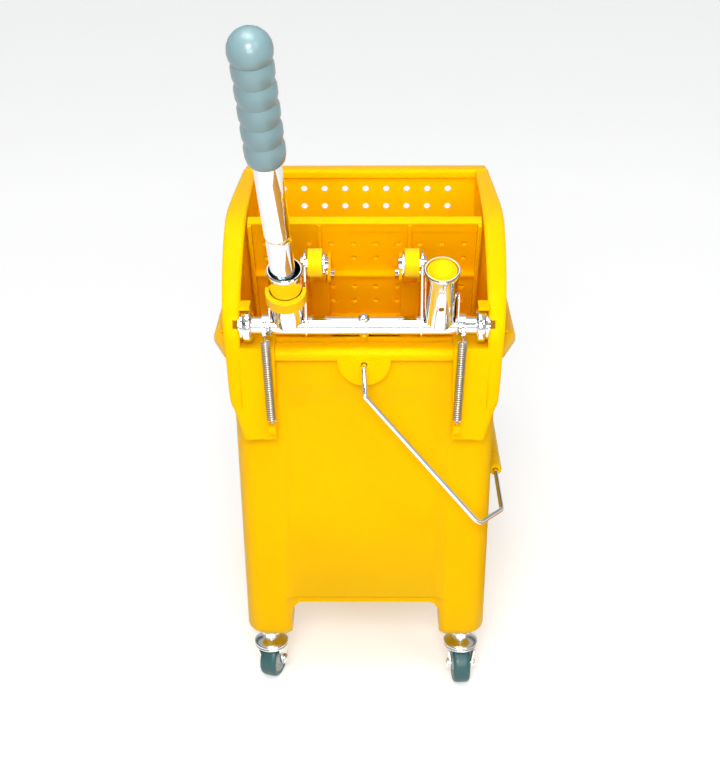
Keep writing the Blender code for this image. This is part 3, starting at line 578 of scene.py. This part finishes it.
def make_wringer():
    half, out = WRINGER_HALF, WRINGER_HALF + WALL
    over, notch = RIM_Z + 0.0004, 0.0165
    samples = smooth_path(wringer_edge(), 54)
    for p in samples:
        p.x = max(p.x, CHEEK_FRONT)
    normals = []
    for i in range(len(samples)):
        a, b = samples[max(i - 1, 0)], samples[min(i + 1, len(samples) - 1)]
        t = Vector((b.x - a.x, b.y - a.y)).normalized()
        normals.append(Vector((-t.y, t.x)))
    upper = [(p.x + n.x * 0.0031, p.y + n.y * 0.0031) for p, n in zip(samples, normals) if p.y > 0.378]
    side = [(0.2037, WRINGER_TOP - 0.0031)] + upper[1:] + [
        (CHEEK_FRONT + 0.0013, over + 0.0002), (notch + 0.0004, over + 0.0002), (notch + 0.0004, 0.322),
        (0.140, 0.2823), (0.2037, 0.2683)]
    parts = []
    for s in (-1, 1):
        parts.append(prism_x("side", side, s * half, s * out))
        rings = []
        for p, n in zip(samples, normals):
            ring = []
            edge = p.z
            root = min(half - 0.0002, edge - 0.009)
            for x, sink in ((root, 0.0030), (root + 0.0001, 0.0024), (root + 0.0006, 0.0013),
                            (root + 0.0016, 0.0004), (root + 0.0032, 0.0),
                            (edge - 0.0030, 0.0), (edge - 0.0012, 0.0005), (edge, 0.0018),
                            (edge, 0.0042), (edge - 0.0018, 0.0042), (edge - 0.0032, 0.0032),
                            (root + 0.0002, 0.0034)):
                ring.append(Vector((s * x, p.x + n.x * sink, p.y + n.y * sink)))
            rings.append(ring)
        parts.append(loft("flange", rings))
        cheek = [(s * 0.077, 0.2851), (s * 0.1052, 0.2851), (s * (out - 0.0013), 0.3724),
                 (s * 0.077, 0.3724)]
        parts.append(prism_y("cheek", cheek, CHEEK_FRONT + 0.0004, CHEEK_FRONT + 0.0034))
        for name, low, high in (
                ("web", (0.0773, CHEEK_FRONT + 0.001, over), (out - 0.0018, 0.0192, 0.3721)),
                ("ledge", (out - 0.0012, 0.030, over + 0.0003), (0.127, 0.2030, over + 0.003)),
                ("tab", (0.0775, -0.0215, 0.2955), (0.0835, CHEEK_FRONT + 0.001, 0.3025)),
                ("stop", (0.0975, -0.006, 0.4055), (half + 0.0005, 0.010, 0.4085))):
            x0, x1 = sorted((s * low[0], s * high[0]))
            parts.append(box(name, (x0, *low[1:]), (x1, *high[1:])))
    body = box("rear", (-out, WRINGER_REAR, 0.2700), (out, WRINGER_REAR + WALL, WRINGER_TOP - 0.001))
    rim_side = rounded([(0.1975, 0.4600), (0.214, 0.4600), (0.214, 0.4695), (0.1975, 0.4695)],
                       [0.0020, 0.0020, 0.0030, 0.0042], 6)
    rim_plan = rounded([(-0.118, 0.4605), (0.118, 0.4605), (0.118, 0.4704), (-0.118, 0.4704)],
                       [0.0010, 0.0010, 0.0065, 0.0065], 8)
    rim = prism_x("rim", rim_side, -0.119, 0.119)
    combine(rim, [prism_y("corner", rim_plan, 0.190, 0.220)], "INTERSECT")
    floor = [(0.0170, 0.3245), (0.1400, 0.2845), (0.2035, 0.2705), (0.2035, 0.2675),
             (0.1400, 0.2815), (0.0170, 0.3215)]
    union(body,
          rim,
          prism_x("floor", floor, -out + 0.0005, out - 0.0005),
          box("front", (-out + 0.0008, notch, 0.3226), (out - 0.0008, notch + WALL, 0.3706)),
          *parts)
    holes = [rod("hole", (ix * HOLE_PITCH, 0, TOP_ROW_Z - iz * ROW_PITCH), (0, 1, 0), HOLE_R, 0.190, 0.220, 8)
             for ix in range(-4, 5) for iz in range(9)]
    slots = [box("slot", (ix * 0.028 - 0.009, y - 0.006, 0.25), (ix * 0.028 + 0.009, y + 0.006, 0.318))
             for ix in range(-3, 4) for y in (0.055, 0.105, 0.180)]
    bores = [rod("bore", SHAFT, (1, 0, 0), SHAFT_R + GAP, s * half - 0.006, s * half + 0.006, 16)
             for s in (-1, 1)]
    pins = [rod("bore", PLATE_HINGE, (1, 0, 0), PIN_R + GAP, s * out - 0.005, s * out + 0.005, 10)
            for s in (-1, 1)]
    cut(body, joined("holes", holes), joined("slots", slots), joined("bores", bores), joined("pins", pins))
    dress(body, "wringer_body", bevel=0.0006, angle=38)
    for s in (-1, 1):
        profile = [(SHAFT_R + GAP, 0.0957), (0.0124, 0.0957), (0.0132, 0.0962), (0.0143, 0.0975),
                   (0.0145, 0.0982), (0.0145, 0.1022), (0.0141, 0.1030), (0.0129, 0.1036), (0.0125, 0.1042),
                   (0.0125, 0.1058), (SHAFT_R + GAP, 0.1058)]
        bush = lathe("bush", [(r, s * h) for r, h in profile], SHAFT, (1, 0, 0), 20)
        dress(bush, "shaft_bushing_" + side_name(s))


# ---------------------------------------------------------------- press plate
def plate_point(up, out, x=0.0):
    u = Vector((0, -math.sin(PLATE_LEAN), math.cos(PLATE_LEAN)))
    n = Vector((0, -math.cos(PLATE_LEAN), -math.sin(PLATE_LEAN)))
    return PLATE_HINGE + u * up + n * out + Vector((x, 0, 0))


def plate_box(name, x0, x1, up0, up1, out0, out1):
    outline = [plate_point(u, o) for u, o in ((up0, out0), (up1, out0), (up1, out1), (up0, out1))]
    return prism_x(name, [(p.y, p.z) for p in outline], min(x0, x1), max(x0, x1))


def make_plate():
    w = PLATE_HALF
    body = plate_box("plate", -w, w, 0.004, PLATE_LENGTH, 0.0, 0.003)
    parts = [
        plate_box("top", -w, w, PLATE_LENGTH - 0.003, PLATE_LENGTH, -0.002, 0.0065),
        plate_box("head", -w + 0.001, w - 0.001, PLATE_LENGTH - 0.013, PLATE_LENGTH - 0.001, 0.001, 0.0048),
        plate_box("rib", -w + 0.001, w - 0.001, 0.1105, 0.1135, 0.001, 0.009),
        plate_box("rib_low", -w + 0.001, w - 0.001, 0.0485, 0.0515, 0.001, 0.009),
        rod("barrel", PLATE_HINGE, (1, 0, 0), 0.0075, -w, w, 16),
    ]
    for s in (-1, 1):
        parts.append(plate_box("edge", s * (w - 0.003), s * w, 0.006, PLATE_LENGTH - 0.001, 0.001, 0.0095))
        parts.append(plate_box("upright", s * 0.0388, s * 0.0418, PLATE_PIN_UP, PLATE_LENGTH - 0.002,
                               0.001, 0.0075))
        parts.append(plate_box("column", s * 0.0335, s * 0.0505, 0.012, PLATE_PIN_UP - 0.016,
                               0.001, 0.0115))
        for x in (LINK_X - LINK_W / 2 - 0.0035, LINK_X + LINK_W / 2 + 0.0005):
            foot_a = plate_point(PLATE_PIN_UP - 0.014, 0.001)
            foot_b = plate_point(PLATE_PIN_UP + 0.012, 0.001)
            pin = plate_point(PLATE_PIN_UP, PLATE_PIN_OUT)
            outline = [(foot_b.y, foot_b.z)]
            u = Vector((-math.sin(PLATE_LEAN), math.cos(PLATE_LEAN)))
            n = Vector((-math.cos(PLATE_LEAN), -math.sin(PLATE_LEAN)))
            for k in range(9):
                a = math.pi * k / 8
                p = Vector((pin.y, pin.z)) + (u * math.cos(a) + n * math.sin(a)) * 0.009
                outline.append(tuple(p))
            outline.append((foot_a.y, foot_a.z))
            parts.append(prism_x("lug", outline, min(s * x, s * (x + 0.003)), max(s * x, s * (x + 0.003))))
    union(body, *parts)
    n = plate_point(0, 1) - plate_point(0, 0)
    holes = [rod("hole", plate_point(up, 0, ix * HOLE_PITCH / 2), n, HOLE_R, -0.01, 0.02, 6)
             for ix in range(-9, 10, 2) for up in (0.025, 0.071, 0.091, 0.131, 0.150)
             if not (abs(ix) == 5 and up < 0.14) and not (abs(ix) == 3 and up == 0.131)]
    pin = plate_point(PLATE_PIN_UP, PLATE_PIN_OUT)
    cut(body, joined("holes", holes),
        joined("bores", [rod("bore", pin, (1, 0, 0), 0.0038, s * LINK_X - 0.012, s * LINK_X + 0.012, 14)
                         for s in (-1, 1)]),
        joined("hinge_bores", [rod("bore", PLATE_HINGE, (1, 0, 0), PIN_R + GAP,
                                   s * 0.094 - 0.0125, s * 0.094 + 0.0125, 14) for s in (-1, 1)]))
    dress(body, "press_plate", bevel=0.0005)
    for s in (-1, 1):
        hinge = lathe("pin", [(0, s * 0.083), (PIN_R, s * 0.083), (PIN_R, s * 0.1096), (0.0058, s * 0.1096),
                              (0.0052, s * 0.1104), (0, s * 0.1104)], PLATE_HINGE, (1, 0, 0), 14)
        dress(hinge, "plate_hinge_pin_" + side_name(s))
        c, a = s * LINK_X, LINK_W / 2 + 0.0038
        bolt = lathe("bolt", [(0, c - a - 0.003), (0.0055, c - a - 0.003), (0.006, c - a), (0.0035, c - a),
                              (0.0035, c + a), (0.006, c + a), (0.0055, c + a + 0.003), (0, c + a + 0.003)],
                     pin, (1, 0, 0), 12)
        dress(bolt, "link_bolt_" + side_name(s))


def make_links():
    pin = plate_point(PLATE_PIN_UP, PLATE_PIN_OUT)
    for s in (-1, 1):
        eye = capsule((CRANK_PIN.y, CRANK_PIN.z), (CRANK_PIN.y + 1e-4, CRANK_PIN.z), 0.0122, 0.0122, 9)
        arm = capsule((CRANK_PIN.y, CRANK_PIN.z), (pin.y, pin.z), 0.0085, 0.0085)
        x0, x1 = s * LINK_X - LINK_W / 2, s * LINK_X + LINK_W / 2
        body = union(prism_x("eye", eye, x0, x1), prism_x("arm", arm, x0 + 0.0006, x1 - 0.0006))
        cut(body,
            rod("bore", CRANK_PIN, (1, 0, 0), PIN_R + PIN_CLEARANCE, x0 - 0.01, x1 + 0.01, 20),
            rod("bore", pin, (1, 0, 0), 0.0038, x0 - 0.01, x1 + 0.01, 14))
        dress(body, "push_link_" + side_name(s), bevel=0.0009, rings=3)


# ---------------------------------------------------------------- lever
def lever_point(along, x=0.0, out=0.0):
    up = Vector((0, -math.sin(LEAN), math.cos(LEAN)))
    fore = Vector((0, -math.cos(LEAN), -math.sin(LEAN)))
    return SHAFT + up * along + fore * out + Vector((x, 0, 0))


def make_shaft(up):
    """The cross shaft and the bolt through its middle."""
    shaft = lathe("shaft", [(0, -SHAFT_HALF), (0.0068, -SHAFT_HALF), (SHAFT_R, -SHAFT_HALF + 0.0012),
                            (SHAFT_R, SHAFT_HALF - 0.0012), (0.0068, SHAFT_HALF), (0, SHAFT_HALF)],
                  SHAFT, (1, 0, 0), 20)
    cut(shaft, rod("hole", lever_point(0), up, 0.0026, -0.02, 0.02, 12))
    dress(shaft, "lever_shaft")
    bolt = lathe("bolt", [(0, -0.0125), (0.0042, -0.0125), (0.0042, -0.0084), (0.0023, -0.0084),
                          (0.0023, 0.0084), (0.0048, 0.0084), (0.0044, 0.0108), (0.0026, 0.0120),
                          (0, 0.0124)], lever_point(0), up, 12)
    dress(bolt, "shaft_bolt")


def make_socket(s, up, fore):
    """Tube that stands saddled and mitred on the shaft."""
    base = lever_point(0, s * SOCKET_X)
    tube = lathe("tube", [(SOCKET_BORE, -0.016), (SOCKET_R, -0.016), (SOCKET_R, SOCKET_TOP - 0.006),
                          (0.0149, SOCKET_TOP - 0.004), (0.0151, SOCKET_TOP - 0.0008),
                          (0.0143, SOCKET_TOP), (0.0134, SOCKET_TOP),
                          (SOCKET_BORE, SOCKET_TOP - 0.003)], base, up, 20)
    saddle = rod("saddle", SHAFT, (1, 0, 0), SHAFT_R + GAP, s * SOCKET_X - 0.02, s * SOCKET_X + 0.02, 20)
    mitres = []
    for d in (-1, 1):
        tip = base + up * 0.0055
        a = tip + Vector((d * 0.030, 0, 0)) + up * 0.016
        b = a - up * 0.05
        c = tip - up * 0.05
        mitres.append(loft("mitre", [[p + fore * k for p in (tip, a, b, c)] for k in (-0.03, 0.03)]))
    if s > 0:
        cut(tube, rod("lock", lever_point(0.035, s * SOCKET_X), fore, 0.0024, 0.005, 0.02, 8))
    cut(tube, saddle, *mitres)
    dress(tube, "socket_" + side_name(s))


def make_crank(s, up):
    """Crank plate and the bolt that carries the push link."""
    pin = Vector((CRANK_PIN.y, CRANK_PIN.z))
    centre = Vector((SHAFT.y, SHAFT.z))
    x0, x1 = sorted((s * (CRANK_X - 0.0003), s * (CRANK_X + 0.0015)))
    crank = prism_x("crank", capsule(centre, pin, 0.0094, 0.0105, 16), x0, x1)
    cut(crank,
        rod("bore", SHAFT, (1, 0, 0), SHAFT_R + GAP, x0 - 0.01, x1 + 0.01, 20),
        rod("bore", CRANK_PIN, (1, 0, 0), PIN_R + GAP, x0 - 0.01, x1 + 0.01, 14))
    dress(crank, "crank_plate_" + side_name(s), bevel=0.0004)

    inner, face = LINK_X - LINK_W / 2 - 0.0006, CRANK_X + 0.0018
    profile = [(0, inner - 0.0045), (0.0050, inner - 0.0045), (0.0056, inner - 0.0012),
               (0.0092, inner - 0.0012), (0.0092, inner), (PIN_R, inner), (PIN_R, face),
               (0.0064, face), (0.0060, face + 0.0022), (0, face + 0.0022)]
    bolt = lathe("bolt", [(r, s * h) for r, h in profile], CRANK_PIN, (1, 0, 0), 14)
    cut(bolt, rod("room", lever_point(0, s * SOCKET_X), up, SOCKET_R + GAP * 4, -0.03, 0.055, 20))
    dress(bolt, "crank_bolt_" + side_name(s))


def make_gusset(s):
    """Stiffening plate on the outer side of the socket."""
    centre = Vector((SHAFT.y, SHAFT.z))
    top = lever_point(0.034 if s > 0 else 0.017, 0)
    x0 = SOCKET_X + SOCKET_R + 0.0006
    gusset = prism_x("gusset", capsule(centre, (top.y, top.z), 0.0104, 0.0050),
                     min(s * x0, s * (x0 + 0.0014)), max(s * x0, s * (x0 + 0.0014)))
    cut(gusset, rod("bore", SHAFT, (1, 0, 0), SHAFT_R + GAP, s * x0 - 0.01, s * x0 + 0.01, 20))
    dress(gusset, "socket_gusset_" + side_name(s), bevel=0.0004)


def make_spring_eye(s):
    """Collar on the shaft with the eye that pulls the spring."""
    x = s * SPRING_X[0]
    collar = ring_body("collar", SHAFT, (1, 0, 0), SHAFT_R + GAP, 0.0105, x - 0.0030, x + 0.0030, 20)
    eye_at = EYE + Vector((x, 0, 0))
    out = (eye_at - (SHAFT + Vector((x, 0, 0)))).normalized()
    start = SHAFT + Vector((x, 0, 0)) + out * 0.0095
    union(collar, sweep("stalk", [start, start + out * 0.002, eye_at - out * 0.0035], 0.0020, 8))
    loop = ring_body("loop", eye_at, (1, 0, 0), 0.0023, 0.0046, -0.0013, 0.0013, 14)
    union(collar, loop)
    dress(collar, "spring_eye_" + side_name(s))


def make_plug_and_lock(up, fore):
    """Plug of the empty socket and lock ring of the one in use."""
    plug = lathe("plug", [(0, 0.054), (0.0121, 0.054), (0.0124, 0.064), (0.0124, 0.0676),
                          (0.0114, 0.0681), (0.0086, 0.0645), (0.0045, 0.0612), (0, 0.0602)],
                 lever_point(0, SOCKET_X), up, 24)
    dress(plug, "socket_plug")

    centre = lever_point(0, -SOCKET_X)
    outer = []
    for h in (0.0355, 0.0460):
        ring = []
        for k in range(72):
            a = 2 * math.pi * k / 72
            ring.append(centre + up * h + fore * (0.0023 + 0.0172 * math.cos(a))
                        + Vector((0.0172 * math.sin(a), 0, 0)))
        outer.append(ring)
    lock = loft("lock", outer)
    back = [centre + up * h + fore * f + Vector((x, 0, 0)) for x, f, h in (
        (-0.03, -0.0015, 0.02), (0.03, -0.0015, 0.02), (0.03, -0.03, 0.02), (-0.03, -0.03, 0.02))]
    cut(lock, rod("bore", centre, up, SOCKET_R + GAP, 0.02, 0.060, 20),
        loft("back", [back, [p + up * 0.04 for p in back]]))
    dress(lock, "lock_ring", bevel=0.0007)


def make_handle(up):
    """Lever tube, standing a little slack in its socket, and its ribbed grip."""
    lean_at = 0.043              # height in the socket about which the tube leans
    slack = lever_point(lean_at, -SOCKET_X)
    axis = (up + Vector((-math.tan(TILT), 0, 0))).normalized()
    origin = slack - axis * lean_at
    groove, sleeve = 0.1045, TUBE_R + 0.0007
    tube = lathe("tube", [(0, 0.0165), (0.0094, 0.0165), (TUBE_R, 0.0180), (TUBE_R, groove - 0.003),
                          (0.0092, groove - 0.001), (0.0092, groove + 0.001), (TUBE_R, groove + 0.003),
                          (sleeve, groove + 0.006), (sleeve, GRIP_START - 0.001),
                          (TUBE_R, GRIP_START + 0.001), (TUBE_R, 0.2845), (0.0090, 0.2860),
                          (0, 0.2860)], origin, axis, 20)
    dress(tube, "handle_tube")
    profile = [(TUBE_R + GAP, GRIP_START), (0.0130, GRIP_START), (0.0150, GRIP_START + 0.0025)]
    lobes, ribbed = 5, 0.0915
    pitch = ribbed / lobes
    for k in range(lobes):
        z = GRIP_START + 0.0025 + pitch * k
        profile += [(GRIP_R, z + pitch * 0.30), (GRIP_R, z + pitch * 0.70), (GRIP_R - 0.0016, z + pitch)]
    for k in range(-1, 6):
        a = math.pi / 2 * k / 6
        profile.append((DOME_R * math.cos(a), GRIP_DOME + DOME_R * math.sin(a)))
    profile += [(0, GRIP_DOME + DOME_R), (0, 0.2865), (TUBE_R + GAP, 0.2865)]
    grip = lathe("grip", profile, origin, axis, 16)
    dress(grip, "handle_grip")


def make_lever():
    up = lever_point(1) - lever_point(0)
    fore = lever_point(0, 0, 1) - lever_point(0)
    make_shaft(up)
    for s in (-1, 1):
        make_socket(s, up, fore)
        make_crank(s, up)
        make_gusset(s)
        make_spring_eye(s)
    make_plug_and_lock(up, fore)
    make_handle(up)


def make_springs():
    """Coils with an open hook at each end."""
    turns, steps, wire, end = 36, 18, 0.00068, 0.0035
    mean = SPRING_R - wire - 0.0002
    for s in (-1, 1):
        top = EYE + Vector((s * SPRING_X[0], -0.0015, -0.0052))
        foot = SPRING_FOOT + Vector((s * SPRING_X[1], 0, 0))
        u, v, w = frame_for(top - foot)
        length = (top - foot).length
        count = turns * steps
        path = []
        for k in range(count + 1):
            a = 2 * math.pi * k / steps
            path.append(foot + w * (end + (length - 2 * end) * k / count)
                        + (u * math.cos(a) + v * math.sin(a)) * mean)
        first, last = path[0] - foot - w * end, path[-1] - top + w * end
        hook = ((0.0002, 0.0), (0.0012, 0.0), (0.0021, 0.35), (0.0029, 0.8))
        low = [foot + w * h + first * f for h, f in hook]
        high = [top - w * h + last * f for h, f in reversed(hook)]
        dress(sweep("spring", low + path + high, wire, 8), "return_spring_" + side_name(s), angle=60,
              stretch=(top - w * 0.024, top - w * end))


# ---------------------------------------------------------------- casters
def make_stem(name, down, up):
    """Threaded stem with a hexagon nut under the leg."""
    thread = []
    for k in range(THREAD_TURNS):
        z = THREAD_START + THREAD_PITCH * k
        thread += [(0.0050, z), (0.00455, z + THREAD_PITCH / 2)]
    neck = LEG_Z - GAP
    foot = [(0, 0.0462), (0.0047, 0.0462), (0.0050, 0.0465), (0.0050, 0.0487), (0.0082, 0.0487),
            (0.0085, 0.0490), (0.0085, 0.0494), (0.0082, 0.0497), (0.0062, 0.0497), (0.0062, 0.0560),
            (0.0058, 0.0562), (0.0058, 0.0566), (0.0088, 0.0568), (0.0092, 0.0572), (0.0092, neck),
            (0.0050, neck)]
    stem = lathe("stem", foot + thread + [(0.0045, STEM_TOP), (0, STEM_TOP)], down, up, 10)
    nut = [down + up * h + Vector((math.cos(a), math.sin(a), 0)) * r
           for h, r in ((0.0495, 0.0080), (0.0500, 0.0087), (0.0538, 0.0087), (0.0543, 0.0080))
           for a in (math.pi / 3 * k for k in range(6))]
    nut = loft("nut", [nut[k:k + 6] for k in range(0, 24, 6)])
    dress(union(stem, nut), "caster_stem_" + name, bevel=0.0002)


def make_cup(name, down, up):
    """Pressed cup that holds the swivel bearing."""
    cup = [(0.0053, 0.0440), (0.0053, 0.0480), (0.0070, 0.0484), (0.0080, 0.0481), (0.0088, 0.0476),
           (0.0100, 0.0470), (0.0125, 0.0459), (0.0150, 0.0447), (0.0163, 0.0438), (0.0168, 0.0431),
           (0.0169, 0.0424), (0.0165, 0.0419), (0.0162, 0.0417), (0.0162, 0.0414), (0.0164, 0.0411),
           (0.0162, 0.0407), (0.0158, 0.0405), (0.0060, 0.0405), (0.0060, 0.0440)]
    dress(lathe("cup", cup, down, up, 20), "caster_cup_" + name)


def make_fork(name, down, up, across, trail, axle):
    """Crown and two flared cheeks."""
    def plan(a, t, z):
        return down + across * a + trail * t + up * z

    crown = lathe("crown", [(0, 0.0387), (0.0157, 0.0387), (0.0163, 0.0391), (0.0163, 0.0398),
                            (0.0159, 0.0402), (0, 0.0402)], down, up, 18)
    # height, front edge, rear edge and outward set of each section
    flare = [(0.0140, 0.0035, 0.0065, 0.0), (0.0143, 0.0022, 0.0078, 0.0),
             (0.0150, 0.0010, 0.0090, 0.0), (0.0165, -0.0003, 0.0103, 0.0),
             (0.0185, -0.0014, 0.0112, 0.0), (0.0235, -0.0036, 0.0122, 0.0),
             (0.0280, -0.0055, 0.0130, 0.0002), (0.0330, -0.0074, 0.0130, 0.0009),
             (0.0375, -0.0090, 0.0122, 0.0020), (0.0400, -0.0085, 0.0110, 0.0022)]
    parts = []
    for s in (-1, 1):
        rings = [[plan(s * (a + off), t, z)
                  for a, t in ((0.0098, t0), (0.0098, t1), (0.0116, t1), (0.0116, t0))]
                 for z, t0, t1, off in flare]
        parts.append(loft("cheek", rings))
    bridge = [[plan(a, t, z)
               for t, z in ((-0.008, 0.0401), (-0.008, 0.0388), (0.010, 0.0388), (0.010, 0.0401))]
              for a in (-0.0130, 0.0130)]
    fork = union(crown, loft("bridge", bridge), *parts)
    cut(fork, rod("bore", axle, across, 0.0033, -0.02, 0.02, 8))
    dress(fork, "caster_fork_" + name, bevel=0.0005, angle=35)


def make_wheel(name, across, axle):
    """Axle bolt, soft tread and moulded core."""
    half = [(0.0, 0.0150), (0.0022, 0.0148), (0.0040, 0.0141), (0.0049, 0.0130), (0.0050, 0.0119),
            (0.0030, 0.0119)]
    bolt = lathe("axle", [(r, -h) for r, h in half] + [(r, h) for r, h in reversed(half)], axle, across, 10)
    dress(bolt, "caster_axle_" + name)
    w = WHEEL_W / 2
    half = [(0.0143, w - 0.0006), (0.0162, w - 0.0001), (0.0171, w - 0.0004), (0.0179, w - 0.0010),
            (0.0185, w - 0.0020), (0.0189, w - 0.0034), (WHEEL_R, w - 0.0048), (WHEEL_R, w * 0.35)]
    tread = lathe("tread", [(r, -h) for r, h in half] + [(r, h) for r, h in reversed(half)], axle, across, 24)
    dress(tread, "wheel_tread_" + name)
    half = [(0.0033, 0.0088), (0.0068, 0.0088), (0.0072, 0.0085), (0.0075, 0.0066), (0.0080, 0.0060),
            (0.0120, 0.0060), (0.0126, 0.0062), (0.0130, 0.0074), (0.0134, 0.0077), (0.0140, 0.0076)]
    core = lathe("core", [(r, -h) for r, h in half] + [(r, h) for r, h in reversed(half)], axle, across, 20)
    dress(core, "wheel_core_" + name)


def make_caster(name):
    """One caster, placed on its swivel and turned the way its wheel joint says."""
    swivel, roll = JOINTS["swivel_" + name], JOINTS["roll_" + name]
    down = Vector((*swivel["pos_m"][:2], 0)) - SHIFT
    across = Vector(roll["axis"])
    trail = Vector((across.y, -across.x, 0))
    up = Vector((0, 0, 1))
    axle = down + trail * TRAIL + up * WHEEL_R
    make_stem(name, down, up)
    make_cup(name, down, up)
    make_fork(name, down, up, across, trail, axle)
    make_wheel(name, across, axle)


def make_casters():
    for name in ("front_left", "front_right", "rear_left", "rear_right"):
        make_caster(name)


# ---------------------------------------------------------------- stage
# name, place, aim, width and height, watts
LIGHTS = (
    ("key", (-0.08, -1.35, 1.20), (0, 0.08, 0.40), (0.45, 0.35), 13),
    ("fill", (0.9, -1.4, 1.5), (0, 0.1, 0.35), (0.6, 0.9), 5),
    ("top", (-0.2, 0.1, 2.2), (0, 0.15, 0.3), (1.2, 1.0), 3),
    ("inner", (0.0, -0.55, 1.55), (0, 0.12, 0.40), (0.5, 0.4), 3.5),
    ("low", (0.05, -1.50, 0.72), (0, 0.10, 0.36), (0.6, 0.4), 6.5),
    ("crown", (-0.16, -0.30, 1.05), (-0.085, -0.13, 0.655), (0.25, 0.25), 0.9),
)


def area_light(name, place, target, size, power):
    data = bpy.data.lights.new(name, "AREA")
    data.shape = "RECTANGLE"
    data.size, data.size_y = size
    data.energy = power
    light = bpy.data.objects.new(name, data)
    bpy.context.scene.collection.objects.link(light)
    light.location = place
    light.rotation_euler = (Vector(target) - Vector(place)).to_track_quat("-Z", "Y").to_euler()


def set_stops(ramp, stops):
    ends = ramp.color_ramp.elements
    ends[0].position, ends[-1].position = stops[0][0], stops[-1][0]
    for place, _ in stops[1:-1]:
        ends.new(place)
    for element, (_, colour) in zip(ends, stops):
        element.color = (*colour, 1)


def make_card():
    """An orange card on the floor, seen only in reflections, which warms the chrome."""
    bpy.ops.mesh.primitive_grid_add(x_subdivisions=2, y_subdivisions=2, size=1, location=(0.52, -0.10, 0.003))
    card = bpy.context.object
    card.name = "reflector_card"
    card.scale = (0.62, 0.95, 1)
    card.visible_camera = card.visible_diffuse = card.visible_shadow = False
    card.visible_transmission = False
    card_look, _, shader = new_material("card")
    shader.inputs["Base Color"].default_value = (0.50, 0.24, 0.03, 1)
    shader.inputs["Emission Color"].default_value = (1.0, 0.45, 0.05, 1)
    shader.inputs["Emission Strength"].default_value = 0.20
    card.data.materials.append(card_look)


def make_stage():
    scene = bpy.context.scene
    scene.view_settings.view_transform = "Standard"
    scene.view_settings.look = "None"

    bpy.ops.mesh.primitive_grid_add(x_subdivisions=8, y_subdivisions=8, size=12, location=(0, 2, 0))
    floor = bpy.context.object
    floor.name = "floor"
    floor.visible_diffuse = False
    floor.data.materials.append(WHITE)
    tree = WHITE.node_tree
    shader = tree.nodes["Principled BSDF"]
    shader.inputs["Emission Color"].default_value = (1, 1, 1, 1)
    coords = tree.nodes.new("ShaderNodeTexCoord")
    reach = tree.nodes.new("ShaderNodeVectorMath")
    reach.operation = "DISTANCE"
    reach.inputs[1].default_value = (0, -2, 0)
    tree.links.new(coords.outputs["Object"], reach.inputs[0])
    # painted light: the floor glows by itself, dimmer around the bucket and brighter far off, so the darker
    # floor near the bucket is painted shade
    near_glow, far_glow, near, far = 0.34, 0.50, 0.25, 1.6
    glow = spread(tree, reach.outputs["Value"], near_glow, far_glow, near, far)
    tree.links.new(glow, shader.inputs["Emission Strength"])

    world = bpy.data.worlds.new("studio")
    scene.world = world
    world.use_nodes = True
    tree = world.node_tree
    background = tree.nodes["Background"]
    coords = tree.nodes.new("ShaderNodeTexCoord")
    split = tree.nodes.new("ShaderNodeSeparateXYZ")
    ramp = tree.nodes.new("ShaderNodeValToRGB")
    tree.links.new(coords.outputs["Generated"], split.inputs["Vector"])
    tree.links.new(split.outputs["Z"], ramp.inputs["Fac"])
    # a dark band between the low and the high white gives the chrome its streaks
    set_stops(ramp, ((0.0, (0.90, 0.90, 0.90)), (0.30, (0.88, 0.88, 0.88)),
                     (0.36, (0.16, 0.20, 0.20)), (0.56, (0.20, 0.25, 0.25)),
                     (0.64, (0.85, 0.85, 0.85)), (1.0, (0.85, 0.85, 0.85))))
    tree.links.new(ramp.outputs["Color"], background.inputs["Color"])
    background.inputs["Strength"].default_value = 0.58

    for light in LIGHTS:
        area_light(*light)
    make_card()


def make_camera():
    """The viewpoint: a short distance in front of the lever end, looking down."""
    pitch, roll, turn = math.radians(25.04), math.radians(0.274), math.radians(0.636)
    place = Vector((0.0121, -1.0652, 0.8376)) + SHIFT
    data = bpy.data.cameras.new("camera")
    data.lens = 62.2
    data.sensor_width = 36.0
    data.sensor_fit = "AUTO"
    data.shift_x = -0.0058
    data.shift_y = -0.0153
    camera = bpy.data.objects.new("camera", data)
    bpy.context.scene.collection.objects.link(camera)
    look = (Matrix.Rotation(turn, 4, "Z") @ Matrix.Rotation(math.pi / 2 - pitch, 4, "X")
            @ Matrix.Rotation(-roll, 4, "Z"))
    camera.matrix_world = Matrix.Translation(place) @ look
    bpy.context.scene.camera = camera


def main():
    make_bucket()
    make_bail()
    make_wringer()
    make_plate()
    make_links()
    make_lever()
    make_springs()
    make_casters()
    make_stage()
    make_camera()
    bpy.context.view_layer.update()


main()
